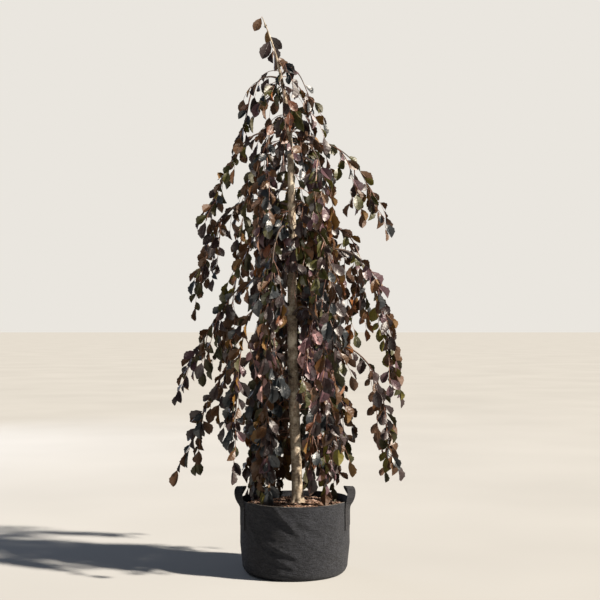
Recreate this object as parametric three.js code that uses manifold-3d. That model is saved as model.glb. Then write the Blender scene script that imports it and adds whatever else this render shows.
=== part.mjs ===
// Weeping copper beech, about 2.3 m tall, growing in a felt grow bag with two strap handles. Millimetres,
// +Z up. The origin is the centre of the bag's flat underside, the tree's front is -Y and +X is its right-
// hand side seen from there. The trunk runs whole to a nodding leader, boughs arch out of it, and each
// bough ends in one hanging mass of twigs and leaves that grows by a seeded rule inside a space of its own.
import * as THREE from "three";
import { mergeVertices } from "three/addons/utils/BufferGeometryUtils.js";
import Module from "manifold-3d";

const wasm = await Module();
wasm.setup();

// ---- Driving dimensions -------------------------------------------------------------------------

const GAP = 0.3; // left between any two solids that meet

const BAG = {
  radius: 226,
  height: 300,
  wall: 4,
  footRadius: 214,
  footRound: 26,
  fullHeight: 120, // above this the wall is upright
  sides: 36,
  roundSteps: 3,
};
const COMPOST = {
  edgeDrop: 28, // below the bag's rim
  centreDrop: 15,
  flatRadius: 60,
  doming: 1.5,
  steps: 3,
};
const STRAP = {
  width: 34,
  thickness: 4,
  sewnFrom: 185, // height of the sewn ends
  halfAngle: 17, // from the handle's middle to each leg, in degrees round the bag
  archRise: 50,
  archSteps: 14,
  twistRate: 3.2, // the quarter turn at each side is over after 1/3.2 of the arch
  leanOut: 6,
  standOff: 0.8, // between the bag's wall and the strap
  clearOfRim: 1,
};
const HANDLES = [
  { name: "handle_left", azimuth: 186 },
  { name: "handle_right", azimuth: -6 },
];

const TRUNK = {
  foot: BAG.height - COMPOST.centreDrop + GAP, // the flat cut on the compost
  solidTop: 2130, // where the leader's own shoot takes over
  tip: 2293,
  footRadius: 22,
  tipRadius: 1.5,
  taper: 2.6, // how long the trunk keeps its thickness
  flare: 10, // extra radius of the root flare
  flareFade: 34,
  flareLobes: 5,
  lobeDepth: 0.16,
  footX: 6,
  lean: 0.019, // sideways per unit of height, to the left
  nod: 104, // how far the leader's tip bends over to the left
  nodFrom: 1650,
  nodPower: 2.75,
  wander: 4, // how far the trunk strays to the side and back on its way up
  wanderLength: 190,
  sides: 10,
  rings: 20,
};

// One bough a row: its name, the azimuth it leaves the trunk at (0 is +X, -90 the front), its height there,
// the length of bough and stem together, the launch angle above level, the angle it hangs at in the end,
// and the share of its length over which it bends down.
const BOUGHS = [
  ["upper_left", 178, 1790, 545, 22, -64, 0.3],
  ["upper_right", 3, 1745, 510, 20, -69, 0.47],
  ["upper_front_left", -126, 1830, 500, 30, -86, 0.26],
  ["upper_back_right", 58, 1800, 560, 34, -80, 0.4],
  ["upper_front_right", -52, 1720, 520, 30, -86, 0.28],
  ["upper_back_left", 126, 1700, 580, 34, -80, 0.4],
  ["middle_left", 183, 1508, 610, 18, -88, 0.52],
  ["middle_back", 90, 1480, 680, 36, -80, 0.42],
  ["middle_front_left", -104, 1390, 720, 24, -87, 0.28],
  ["middle_right", -2, 1245, 835, 42, -85, 0.37],
  ["middle_front_right", -54, 1360, 680, 30, -84, 0.34],
  ["middle_back_right", 46, 1400, 740, 34, -82, 0.4],
  ["middle_back_left", 136, 1310, 740, 34, -82, 0.4],
  ["lower_left", 177, 1200, 640, 16, -58, 0.3],
  ["lower_front_left", -136, 1090, 680, 24, -84, 0.36],
  ["lower_front_right", -66, 1050, 660, 28, -84, 0.36],
  ["lower_back", 86, 1070, 760, 34, -82, 0.44],
  ["foot_left", 184, 865, 650, 18, -70, 0.4],
  ["foot_right", 2, 905, 775, 22, -84, 0.4],
  ["foot_back_right", 50, 830, 640, 28, -84, 0.34],
  ["foot_back_left", 128, 800, 640, 28, -84, 0.34],
  ["foot_front_left", -122, 790, 540, 26, -86, 0.28],
  ["foot_front_right", -56, 720, 480, 26, -86, 0.26],
].map(asBough);

// Short ones, whose masses grow straight from the trunk, with no bough of their own.
const SHORT_BOUGHS = [
  ["crown_left", 186, 2030, 340, 22, -79, 0.3],
  ["crown_right", -8, 2045, 270, 50, -68, 0.24],
  ["crown_front", -84, 1985, 360, 30, -86, 0.24],
  ["crown_back", 84, 1975, 380, 36, -84, 0.3],
  ["inner_upper_left", -158, 1570, 440, 14, -87, 0.2],
  ["inner_upper_right", -38, 1520, 440, 14, -87, 0.2],
  ["inner_lower_left", -144, 1010, 440, 14, -87, 0.2],
  ["inner_lower_right", -36, 1130, 440, 14, -87, 0.2],
].map((row) => ({ ...asBough(row), short: true }));

function asBough([name, azimuth, height, length, launch, hang, bend]) {
  return { name, azimuth, height, length, launch, hang, bend };
}

const LIMB = {
  sway: 9, // degrees that a bough's line swings to each side
  rootRadius: 8, // a bough where it leaves the trunk, per 700 mm of its length
  refLength: 700,
  tipRadius: 2.4,
  split: 0.27, // share of the length where the bough ends and its mass begins
  spineSteps: 16,
  collar: 1.35, // a bough's root is this much thicker
  boughSides: 5,
  boughRings: 4,
  stemRings: 6,
};

const TWIG = {
  from: 0.03, // where the first twig leaves, as a share of the stem
  to: 0.9,
  spacing: 100, // along the stem
  swing: [35, 95], // degrees to the side of the stem
  lift: [6, 24], // degrees above the stem's own slope
  length: [250, 360], // near the trunk; it shrinks towards the tip
  shrink: 0.55,
  shortBough: 600, // a bough under this length has shorter twigs too
  fall: -86, // slope a twig ends up hanging at
  droop: 0.3, // share of the way to that slope gained each step
  step: 42,
  sway: 10,
  rootRadius: 3.4,
  tipRadius: 2.4,
  shortest: 2, // steps; a shorter one is left out
  rings: 3,
};

const LEAF = {
  length: [106, 134], // about twice life, as there are fewer than on the tree
  width: 0.56, // share of its length
  keel: 0.034, // depth of the folded blade at its midrib
  widest: 0.46, // share of the length from the stalk
  spacing: 40, // along a twig
  spread: 38, // degrees between a leaf and its twig
  sunk: 1, // the foot reaches this far past the twig's centre line
  apart: 36, // least distance between the middles of two leaves of a mass
  tries: 24,
  mostFaces: 20, // a leaf that would add more to its mass crosses another one, and is left out
};

const SPACE = {
  fall: 0.62, // height counts this much less than width when the nearest mass is sought
  hang: 70, // a mass's space is centred this far below its stem
  margin: 3, // kept clear on each side of the border between two masses
  limb: 9, // kept clear of the trunk and the boughs
  pot: 9, // kept clear of the bag, its handles and the compost
};

const SEED = 20260;

// ---- Seeded numbers -----------------------------------------------------------------------------

// Returns a function that gives the same even numbers from 0 to 1 for the same seed.
function seeded(seed) {
  let state = (SEED + seed * 2654435761) >>> 0;
  return () => {
    state = (state + 0x6d2b79f5) >>> 0;
    let t = Math.imul(state ^ (state >>> 15), 1 | state);
    t = (t + Math.imul(t ^ (t >>> 7), 61 | t)) ^ t;
    return ((t ^ (t >>> 14)) >>> 0) / 4294967296;
  };
}

const between = (random, [low, high]) => low + (high - low) * random();
const radians = THREE.MathUtils.degToRad;
const lerp = THREE.MathUtils.lerp;

// ---- Solids -------------------------------------------------------------------------------------

function solidOf(geometry) {
  const bare = new THREE.BufferGeometry();
  bare.setAttribute("position", geometry.getAttribute("position").clone());
  if (geometry.index) bare.setIndex(geometry.index.clone());
  const merged = mergeVertices(bare, 1e-4);
  return new wasm.Manifold(
    new wasm.Mesh({
      numProp: 3,
      vertProperties: merged.attributes.position.array,
      triVerts: new Uint32Array(merged.index.array),
    }),
  );
}

function geometryOf(solid) {
  const mesh = solid.getMesh();
  const geometry = new THREE.BufferGeometry();
  geometry.setAttribute("position", new THREE.BufferAttribute(mesh.vertProperties, 3));
  geometry.setIndex(new THREE.BufferAttribute(mesh.triVerts, 1));
  geometry.computeVertexNormals();
  return geometry;
}

// The main body of a solid: scraps are dropped, and so are the walls of any sealed hollow, which fills it.
function mainBody(solid) {
  return solid.decompose().reduce((best, body) => (body.volume() > best.volume() ? body : best));
}

// Joins rings of points into one closed geometry. Each ring runs anticlockwise seen from the next one. All
// have the same count, but the first and the last may be a single point.
function skin(rings) {
  const positions = rings.flat().flatMap((p) => [p.x, p.y, p.z]);
  const count = Math.max(...rings.map((ring) => ring.length));
  const index = [];
  let start = 0;
  for (let k = 0; k + 1 < rings.length; k++) {
    const next = start + rings[k].length;
    for (let i = 0; i < count; i++) {
      const j = (i + 1) % count;
      if (rings[k].length > 1) index.push(start + i, start + j, next + (rings[k + 1].length > 1 ? j : 0));
      if (rings[k + 1].length > 1) index.push(start + (rings[k].length > 1 ? i : 0), next + j, next + i);
    }
    start = next;
  }
  for (let i = 1; i + 1 < rings[0].length; i++) index.push(0, i + 1, i);
  for (let i = 1; i + 1 < rings.at(-1).length; i++) index.push(start, start + i, start + i + 1);
  const geometry = new THREE.BufferGeometry();
  geometry.setAttribute("position", new THREE.Float32BufferAttribute(positions, 3));
  geometry.setIndex(index);
  return geometry;
}

// Directions along a path: at each point its tangent, a level-ish side and the one at right angles to both.
// An end that has to lie flat against another one is given its tangent.
function framesAlong(path, { first, last } = {}) {
  const side = new THREE.Vector3();
  return path.map((p, k) => {
    const tangent = new THREE.Vector3()
      .subVectors(path[Math.min(k + 1, path.length - 1)], path[Math.max(k - 1, 0)])
      .normalize();
    if (k === 0 && first) tangent.copy(first);
    if (k === path.length - 1 && last) tangent.copy(last);
    if (k === 0) side.set(0, 0, 1).cross(tangent);
    if (side.length() < 0.05) side.set(1, 0, 0);
    side.addScaledVector(tangent, -side.dot(tangent)).normalize();
    return { tangent, side: side.clone(), up: new THREE.Vector3().crossVectors(tangent, side) };
  });
}

// A round limb along a path of points, with a radius at each one.
function limb(path, radii, sides, ends) {
  const frames = framesAlong(path, ends);
  return skin(
    path.map((p, k) =>
      Array.from({ length: sides }, (_, i) => {
        const angle = (2 * Math.PI * i) / sides;
        return new THREE.Vector3()
          .copy(p)
          .addScaledVector(frames[k].side, radii[k] * Math.cos(angle))
          .addScaledVector(frames[k].up, radii[k] * Math.sin(angle));
      }),
    ),
  );
}

// ---- Grow bag, compost and handles --------------------------------------------------------------

// Turns a profile of [radius, height] points, which starts and ends on the axis, about +Z.
function turned(profile, sides) {
  const points = profile.map(([radius, height]) => new THREE.Vector2(radius, height));
  return new THREE.LatheGeometry(points, sides).rotateX(Math.PI / 2);
}

// Radius of the bag's outer face at a height above its rounded foot.
const bagRadius = (z) => lerp(BAG.footRadius, BAG.radius, Math.min(1, z / BAG.fullHeight));

function bagGeometry() {
  const outer = [];
  for (let k = 0; k <= BAG.roundSteps; k++) {
    const angle = (Math.PI / 2) * (k / BAG.roundSteps);
    outer.push([
      BAG.footRadius - BAG.footRound * (1 - Math.sin(angle)),
      BAG.footRound * (1 - Math.cos(angle)),
    ]);
  }
  outer.push([BAG.radius, BAG.fullHeight], [BAG.radius, BAG.height]);
  const inner = [
    [BAG.radius - BAG.wall, BAG.height],
    [BAG.radius - BAG.wall, BAG.fullHeight],
    [BAG.footRadius - BAG.wall, BAG.footRound],
    [BAG.footRadius - BAG.footRound, BAG.wall],
  ];
  return turned([[0, 0], ...outer, ...inner, [0, BAG.wall]], BAG.sides);
}

function compostTop(radius) {
  const rim = BAG.radius - BAG.wall;
  const share = Math.max(0, (radius - COMPOST.flatRadius) / (rim - COMPOST.flatRadius));
  return BAG.height - lerp(COMPOST.centreDrop, COMPOST.edgeDrop, share ** COMPOST.doming);
}

function compostGeometry() {
  const inside = BAG.wall + GAP;
  const top = [];
  for (let k = 0; k <= COMPOST.steps; k++) {
    const radius = lerp(BAG.radius - inside, COMPOST.flatRadius, k / COMPOST.steps);
    top.push([radius, compostTop(radius)]);
  }
  const foot = BAG.footRadius - BAG.footRound;
  return turned(
    [
      [0, inside],
      [foot - inside, inside],
      [BAG.footRadius - inside - GAP, BAG.footRound + GAP],
      [BAG.radius - inside, BAG.fullHeight + GAP],
      ...top,
      [0, compostTop(0)],
    ],
    BAG.sides,
  );
}

// A strap sewn flat to the bag's wall at both ends, its legs turning edge-on to the wall as they rise into
// a loop.
function handleGeometry(azimuth) {
  const middle = radians(azimuth);
  const half = radians(STRAP.halfAngle);
  const radius = BAG.radius + STRAP.standOff + STRAP.thickness / 2;
  const outward = new THREE.Vector3(Math.cos(middle), Math.sin(middle), 0);
  const along = new THREE.Vector3(-Math.sin(middle), Math.cos(middle), 0);
  const up = new THREE.Vector3(0, 0, 1);
  const rings = [];
  const addRing = (centre, wide, thick) => {
    rings.push(
      [
        [-1, -1],
        [1, -1],
        [1, 1],
        [-1, 1],
      ].map(([u, v]) =>
        new THREE.Vector3()
          .copy(centre)
          .addScaledVector(wide, (u * STRAP.width) / 2)
          .addScaledVector(thick, (v * STRAP.thickness) / 2),
      ),
    );
  };
  const legAt = (side) => {
    const angle = middle + side * half;
    const normal = new THREE.Vector3(Math.cos(angle), Math.sin(angle), 0);
    const wide = new THREE.Vector3(-Math.sin(angle), Math.cos(angle), 0);
    return { normal, wide, foot: normal.clone().multiplyScalar(radius) };
  };
  const [first, last] = [legAt(-1), legAt(1)];
  const archFoot = BAG.height + STRAP.clearOfRim;
  const legHeights = [STRAP.sewnFrom, archFoot];
  for (const z of legHeights) addRing(first.foot.clone().setZ(z), first.wide.clone().negate(), first.normal);
  const reach = first.foot.distanceTo(last.foot) / 2;
  const centre = outward.clone().multiplyScalar(radius * Math.cos(half));
  for (let k = 1; k < STRAP.archSteps; k++) {
    const share = k / STRAP.archSteps;
    const angle = Math.PI * share;
    const p = centre
      .clone()
      .addScaledVector(along, -reach * Math.cos(angle))
      .addScaledVector(outward, STRAP.leanOut * Math.sin(angle))
      .setZ(archFoot + STRAP.archRise * Math.sin(angle));
    const travel = along
      .clone()
      .multiplyScalar(reach * Math.sin(angle))
      .addScaledVector(up, STRAP.archRise * Math.cos(angle))
      .normalize();
    // the strap's width turns from the wall's direction to straight inward and back
    const turn = (Math.PI / 2) * Math.min(1, STRAP.twistRate * Math.min(share, 1 - share));
    const wide = (share < 0.5 ? first.wide.clone().negate() : last.wide.clone())
      .multiplyScalar(Math.cos(turn))
      .addScaledVector(outward, -Math.sin(turn));
    wide.addScaledVector(travel, -wide.dot(travel)).normalize();
    addRing(p, wide, travel.clone().cross(wide).normalize());
  }
  for (const z of [...legHeights].reverse()) addRing(last.foot.clone().setZ(z), last.wide, last.normal);
  return skin(rings);
}

// ---- Trunk --------------------------------------------------------------------------------------

// How much of the root flare is left at a height: 1 at the foot, fading upward.
const flareAt = (z) => Math.exp((TRUNK.foot - z) / TRUNK.flareFade);

function trunkCentre(z) {
  const nod = TRUNK.nod * Math.max(0, (z - TRUNK.nodFrom) / (TRUNK.tip - TRUNK.nodFrom)) ** TRUNK.nodPower;
  const lean = TRUNK.lean * (z - TRUNK.foot);
  const phase = z / TRUNK.wanderLength;
  return new THREE.Vector3(
    TRUNK.footX - lean - nod + TRUNK.wander * Math.sin(phase),
    TRUNK.wander * Math.sin(0.8 * phase + 1),
    z,
  );
}

function trunkRadius(z) {
  const share = THREE.MathUtils.clamp((z - TRUNK.foot) / (TRUNK.tip - TRUNK.foot), 0, 1);
  const taper = (1 - share ** TRUNK.taper) ** 1.15;
  return lerp(TRUNK.tipRadius, TRUNK.footRadius, taper) + TRUNK.flare * flareAt(z);
}

function trunkGeometry(extra = 0) {
  const rings = [];
  for (let k = 0; k < TRUNK.rings; k++) {
    const z = lerp(TRUNK.foot, TRUNK.solidTop, (k / (TRUNK.rings - 1)) ** 1.35);
    const centre = trunkCentre(z);
    rings.push(
      Array.from({ length: TRUNK.sides }, (_, i) => {
        const angle = (2 * Math.PI * i) / TRUNK.sides;
        const lobe = 1 + TRUNK.lobeDepth * flareAt(z) * Math.cos(TRUNK.flareLobes * angle);
        const radius = trunkRadius(z) * lobe + extra;
        return new THREE.Vector3(
          centre.x + radius * Math.cos(angle),
          centre.y + radius * Math.sin(angle),
          z,
        );
      }),
    );
  }
  return skin(rings);
}

// ---- Spines: the line of each bough and of the stem that carries it on --------------------------

// The leader's line is the trunk's own; a bough's is worked out from its row.
function spineOf(bough) {
  if (bough.leader) {
    const heights = Array.from({ length: LIMB.spineSteps + 1 }, (_, k) => k / LIMB.spineSteps);
    return heights.map((share) => trunkCentre(lerp(TRUNK.solidTop + GAP, TRUNK.tip, share)));
  }
  const points = [trunkCentre(bough.height)];
  const step = bough.length / LIMB.spineSteps;
  for (let k = 0; k < LIMB.spineSteps; k++) {
    const { azimuth, slope } = headingAt(bough, (k + 0.5) / LIMB.spineSteps);
    points.push(stepFrom(points[k], azimuth, slope, step));
  }
  return points;
}

// Azimuth and slope of a bough's line at a share of its length, in degrees. It sways a little to both
// sides.
function headingAt(bough, share) {
  if (bough.leader) return { azimuth: 180, slope: 75 - 25 * share };
  const sway = LIMB.sway * Math.sin(5 * share + bough.height / 90);
  return {
    azimuth: bough.azimuth + sway,
    slope: bough.hang + (bough.launch - bough.hang) * Math.exp(-((share / bough.bend) ** 2)),
  };
}

function stepFrom(point, azimuth, slope, step) {
  const flat = Math.cos(radians(slope));
  return new THREE.Vector3(
    point.x + step * flat * Math.cos(radians(azimuth)),
    point.y + step * flat * Math.sin(radians(azimuth)),
    point.z + step * Math.sin(radians(slope)),
  );
}

function pointAt(path, share) {
  const place = THREE.MathUtils.clamp(share, 0, 1) * (path.length - 1);
  const k = Math.min(Math.floor(place), path.length - 2);
  return path[k].clone().lerp(path[k + 1], place - k);
}

// The direction in which a bough ends and its stem begins, so that their flat ends face each other.
function tangentAtSplit({ bough, spine, split }) {
  if (bough.leader) return new THREE.Vector3(0, 0, 1);
  return pointAt(spine, split + 0.01).sub(pointAt(spine, split - 0.01)).normalize();
}

function limbRadius(bough, share) {
  if (bough.leader) return trunkRadius(lerp(TRUNK.solidTop, TRUNK.tip, share));
  const root = LIMB.rootRadius * Math.sqrt(bough.length / LIMB.refLength);
  return lerp(LIMB.tipRadius, root, (1 - share) ** 1.2);
}

const LEADER = { name: "leader", leader: true, length: TRUNK.tip - TRUNK.solidTop, height: TRUNK.solidTop };
const MASSES = [LEADER, ...BOUGHS, ...SHORT_BOUGHS].map((bough) => {
  const spine = spineOf(bough);
  const split = bough.leader || bough.short ? 0 : LIMB.split;
  // the middle line of the mass's space hangs below its stem
  const guide = Array.from({ length: 12 }, (_, k) => {
    const share = lerp(split, 1, k / 11);
    const hang = bough.leader ? 0 : SPACE.hang * (1 - share);
    return pointAt(spine, share).add(new THREE.Vector3(0, 0, -hang));
  });
  const wood = split && Array.from({ length: LIMB.boughRings }, (_, k) =>
    pointAt(spine, (split * k) / (LIMB.boughRings - 1)),
  );
  return { bough, spine, split, guide, wood };
});

// ---- Space: who may grow where ------------------------------------------------------------------

function distanceToPath(point, path, heightScale) {
  let nearest = Infinity;
  for (let k = 0; k + 1 < path.length; k++) {
    const a = path[k];
    const b = path[k + 1];
    const [dx, dy, dz] = [b.x - a.x, b.y - a.y, (b.z - a.z) * heightScale];
    const [px, py, pz] = [point.x - a.x, point.y - a.y, (point.z - a.z) * heightScale];
    const t = THREE.MathUtils.clamp((px * dx + py * dy + pz * dz) / (dx * dx + dy * dy + dz * dz), 0, 1);
    nearest = Math.min(nearest, Math.hypot(px - t * dx, py - t * dy, pz - t * dz));
  }
  return nearest;
}

function isInSpace(point, mass) {
  const own = distanceToPath(point, mass.guide, SPACE.fall);
  return MASSES.every(
    (other) => other === mass || distanceToPath(point, other.guide, SPACE.fall) - own > 2 * SPACE.margin,
  );
}

function isClearOfLimbs(point) {
  if (point.z < TRUNK.solidTop + SPACE.limb) {
    const centre = trunkCentre(point.z);
    const distance = Math.hypot(point.x - centre.x, point.y - centre.y);
    if (distance < trunkRadius(point.z) + SPACE.limb) return false;
  }
  return MASSES.every(
    ({ bough, wood }) => !wood || distanceToPath(point, wood, 1) > limbRadius(bough, 0) + SPACE.limb,
  );
}

function isClearOfPot(point) {
  const radius = Math.hypot(point.x, point.y);
  const handleTop = BAG.height + STRAP.archRise + STRAP.width / 2;
  const handleInside = BAG.radius - STRAP.width;
  if (radius < handleInside) return point.z > compostTop(radius) + SPACE.pot;
  if (radius < BAG.radius + STRAP.width) return point.z > handleTop + SPACE.pot;
  return point.z > SPACE.pot;
}

const mayHold = (point, mass) => isClearOfPot(point) && isClearOfLimbs(point) && isInSpace(point, mass);

// ---- Growth rule --------------------------------------------------------------------------------

// The twigs of a mass leave its stem on alternate sides and fall. Each one grows until its next step would
// leave the space.
function growTwigs(mass, massIndex) {
  const { bough, spine, split } = mass;
  const count = Math.max(2, Math.round((bough.length * (1 - split) * (TWIG.to - TWIG.from)) / TWIG.spacing));
  const twigs = [];
  for (let j = 0; j < count; j++) {
    const random = seeded(massIndex * 1000 + j);
    const place = lerp(TWIG.from, TWIG.to, (j + 0.3 + 0.4 * random()) / count);
    const share = lerp(split, 1, place);
    const heading = headingAt(bough, share);
    const azimuth = heading.azimuth + (j % 2 ? 1 : -1) * between(random, TWIG.swing);
    const size = Math.min(1, bough.length / TWIG.shortBough) * (1 - TWIG.shrink * share);
    const steps = Math.round((between(random, TWIG.length) * size) / TWIG.step);
    let slope = Math.min(60, heading.slope + between(random, TWIG.lift));
    const path = [pointAt(spine, share)];
    for (let k = 0; k < steps; k++) {
      slope = lerp(slope, TWIG.fall, TWIG.droop);
      const next = stepFrom(path[k], azimuth + TWIG.sway * Math.sin(k + j), slope, TWIG.step);
      if (!mayHold(next, mass)) break;
      path.push(next);
    }
    if (path.length <= TWIG.shortest) continue;
    const bends = Array.from({ length: TWIG.rings }, (_, k) => pointAt(path, k / (TWIG.rings - 1)));
    const rootRadius = Math.min(TWIG.rootRadius, 0.9 * limbRadius(bough, share));
    twigs.push({ path: bends, azimuth, rootRadius });
  }
  return twigs;
}

// Where leaves leave a path: at even spacing back from its tip, on alternate sides.
function leafSites(path, from, random) {
  let length = 0;
  for (let k = 0; k + 1 < path.length; k++) length += path[k].distanceTo(path[k + 1]);
  const count = Math.floor((length * (1 - from)) / LEAF.spacing);
  const firstSide = random() < 0.5 ? 1 : -1;
  return Array.from({ length: count }, (_, k) => {
    const share = lerp(1, from, (k + 0.6) / count);
    const ahead = pointAt(path, share + 0.02).sub(pointAt(path, share - 0.04)).normalize();
    return { foot: pointAt(path, share), ahead, side: firstSide * (k % 2 ? 1 : -1) };
  });
}

// A ring of three points: the two margins of a blade, or of a twig's flat top, and the keel below them.
function keeledRing(centre, side, up, halfWidth, rise, keel) {
  return [
    centre.clone().addScaledVector(side, halfWidth).addScaledVector(up, rise),
    centre.clone().addScaledVector(side, -halfWidth).addScaledVector(up, rise),
    centre.clone().addScaledVector(up, -keel),
  ];
}

// The blade's middle ring and its tip.
function bladeRings({ foot, axis, side, up, length }) {
  const middle = foot.clone().addScaledVector(axis, LEAF.widest * length);
  return [
    keeledRing(middle, side, up, (LEAF.width * length) / 2, LEAF.keel * length, 0),
    [foot.clone().addScaledVector(axis, length)],
  ];
}

// Turns a direction downward, an upward one the most.
const hang = (axis, weight) => axis.setZ(axis.z - weight - 2 * Math.max(0, axis.z)).normalize();

// A leaf that stands to one side of its twig, turned downward, with its upper face outward.
function sideLeaf({ foot, ahead, side }, azimuth, random) {
  const length = between(random, LEAF.length);
  const outward = stepFrom(new THREE.Vector3(), azimuth + lerp(-60, 60, random()), 0, 1);
  const across = new THREE.Vector3().crossVectors(ahead, outward);
  if (across.length() < 0.2) across.set(1, 0, 0);
  const spread = radians(LEAF.spread * lerp(0.6, 1.5, random())) * side;
  const axis = ahead
    .clone()
    .multiplyScalar(Math.cos(spread))
    .addScaledVector(across.normalize(), Math.sin(spread))
    .addScaledVector(outward, lerp(-0.1, 0.4, random()));
  hang(axis, 0.4);
  const up = outward.addScaledVector(axis, -outward.dot(axis)).normalize();
  return {
    foot: foot.clone().addScaledVector(axis, -LEAF.sunk),
    axis,
    up,
    side: new THREE.Vector3().crossVectors(up, axis),
    length,
  };
}

// The leaf that a twig or stem ends in. It hangs a little more than the wood does.
function endLeaf(path, random) {
  const { tangent, side } = framesAlong(path).at(-1);
  const axis = hang(tangent.clone(), 0.5);
  side.addScaledVector(axis, -side.dot(axis)).normalize();
  const up = new THREE.Vector3().crossVectors(axis, side);
  return { foot: path.at(-1), axis, side, up, length: between(random, LEAF.length) };
}

function leafFits({ foot, axis, side, length }, mass, taken) {
  const middle = foot.clone().addScaledVector(axis, length / 2);
  if (taken.some((other) => other.distanceTo(middle) < LEAF.apart)) return false;
  const fits = [0.3, LEAF.widest, 0.75, 1.02].every((along) => {
    const narrowing = Math.abs(along - LEAF.widest) / (1 - LEAF.widest);
    const halfWidth = (LEAF.width * length * Math.max(0, 1 - narrowing)) / 2;
    return [-halfWidth, halfWidth].every((across) => {
      const edge = foot.clone().addScaledVector(axis, along * length).addScaledVector(side, across);
      return mayHold(edge, mass);
    });
  });
  if (fits) taken.push(middle);
  return fits;
}

// Wood of three sides that opens into the leaf at its end, if there is one.
function twigGeometry(path, radii, leaf, ends) {
  const frames = framesAlong(path, ends);
  const [wide, high] = [Math.cos(Math.PI / 6), Math.sin(Math.PI / 6)];
  const rings = path.map((p, k) =>
    keeledRing(p, frames[k].side, frames[k].up, radii[k] * wide, radii[k] * high, radii[k]),
  );
  return skin(leaf ? [...rings, ...bladeRings(leaf)] : rings);
}

function massSolid(mass, massIndex, trunkCutter) {
  const { bough, spine, split } = mass;
  const start = split + (bough.leader || bough.short ? 0 : GAP / bough.length);
  const shares = Array.from({ length: LIMB.stemRings }, (_, k) => lerp(start, 1, k / (LIMB.stemRings - 1)));
  const stem = shares.map((share) => pointAt(spine, share));
  const stemRadii = shares.map((share) => limbRadius(bough, share));
  const random = seeded(massIndex * 1000 + 999);
  const taken = [];
  const lastLeaf = endLeaf(stem, random);
  const ends = { first: tangentAtSplit(mass) };
  let solid = solidOf(twigGeometry(stem, stemRadii, leafFits(lastLeaf, mass, taken) && lastLeaf, ends));
  const carriers = [{ path: stem, azimuth: bough.azimuth ?? 200, from: 0.12 }];
  for (const { path, azimuth, rootRadius } of growTwigs(mass, massIndex)) {
    const leaf = endLeaf(path, random);
    const radii = path.map((_, k) => lerp(rootRadius, TWIG.tipRadius, k / (path.length - 1)));
    const geometry = twigGeometry(path, radii, leafFits(leaf, mass, taken) && leaf);
    solid = solid.add(solidOf(geometry));
    carriers.push({ path, azimuth, from: 0.2 });
  }
  for (const { path, azimuth, from } of carriers) {
    for (const site of leafSites(path, from, random)) {
      for (let attempt = 0; attempt < LEAF.tries; attempt++) {
        const leaf = sideLeaf(site, azimuth, random);
        if (!leafFits(leaf, mass, taken)) continue;
        const joined = solid.add(solidOf(skin([[leaf.foot], ...bladeRings(leaf)])));
        if (joined.numTri() - solid.numTri() > LEAF.mostFaces) {
          taken.pop(); // it crosses another leaf or twig
          continue;
        }
        solid = joined;
        break;
      }
    }
  }
  if (bough.short) solid = solid.subtract(trunkCutter);
  return mainBody(solid);
}

// ---- Boughs -------------------------------------------------------------------------------------

function boughSolid(mass, trunkCutter) {
  const radii = mass.wood.map((_, k) => {
    const radius = limbRadius(mass.bough, (mass.split * k) / (LIMB.boughRings - 1));
    return k ? radius : radius * LIMB.collar;
  });
  const whole = solidOf(limb(mass.wood, radii, LIMB.boughSides, { last: tangentAtSplit(mass) }));
  return mainBody(whole.subtract(trunkCutter));
}

// ---- Assembly -----------------------------------------------------------------------------------

const felt = new THREE.MeshStandardMaterial({ color: 0x26272b, roughness: 0.95 });
const compost = new THREE.MeshStandardMaterial({ color: 0x4a3326, roughness: 1 });
const bark = new THREE.MeshStandardMaterial({ color: 0x8a8070, roughness: 0.8 });
const youngBark = new THREE.MeshStandardMaterial({ color: 0x5d4237, roughness: 0.7 });
const copperLeaf = new THREE.MeshStandardMaterial({ color: 0x32262b, roughness: 0.45 });

const tree = new THREE.Group();

function addNode(name, geometry, material) {
  const mesh = new THREE.Mesh(geometry, material);
  mesh.name = name;
  tree.add(mesh);
}

addNode("grow_bag", bagGeometry(), felt);
addNode("compost", compostGeometry(), compost);
for (const { name, azimuth } of HANDLES) addNode(name, handleGeometry(azimuth), felt);
addNode("trunk", trunkGeometry(), bark);

const trunkCutter = solidOf(trunkGeometry(GAP));
MASSES.forEach((mass, index) => {
  const { name } = mass.bough;
  if (mass.split > 0) addNode(`bough_${name}`, geometryOf(boughSolid(mass, trunkCutter)), youngBark);
  addNode(`foliage_${name}`, geometryOf(massSolid(mass, index, trunkCutter)), copperLeaf);
});

export default tree;
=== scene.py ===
"""Weeping copper beech tree in a black felt grow bag: the visible model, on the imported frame.

Lengths in the named sizes are millimetres and angles degrees, in the frame of the part: +Z up, the
front toward -Y, the origin in the middle of the bag's underside. The trunk and the boughs are smooth
grey bark. Each bough carries on as a stem, twigs leave the stem, finer twigs leave those, and leaves
stand along all of them. Every stem owns the space that is nearer to its own hanging line than to any
other stem's, and nothing on it grows out of that space.
"""

import math
from types import SimpleNamespace as Named

import bmesh
import bpy
import numpy as np
from mathutils import Matrix, Vector, noise


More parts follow.
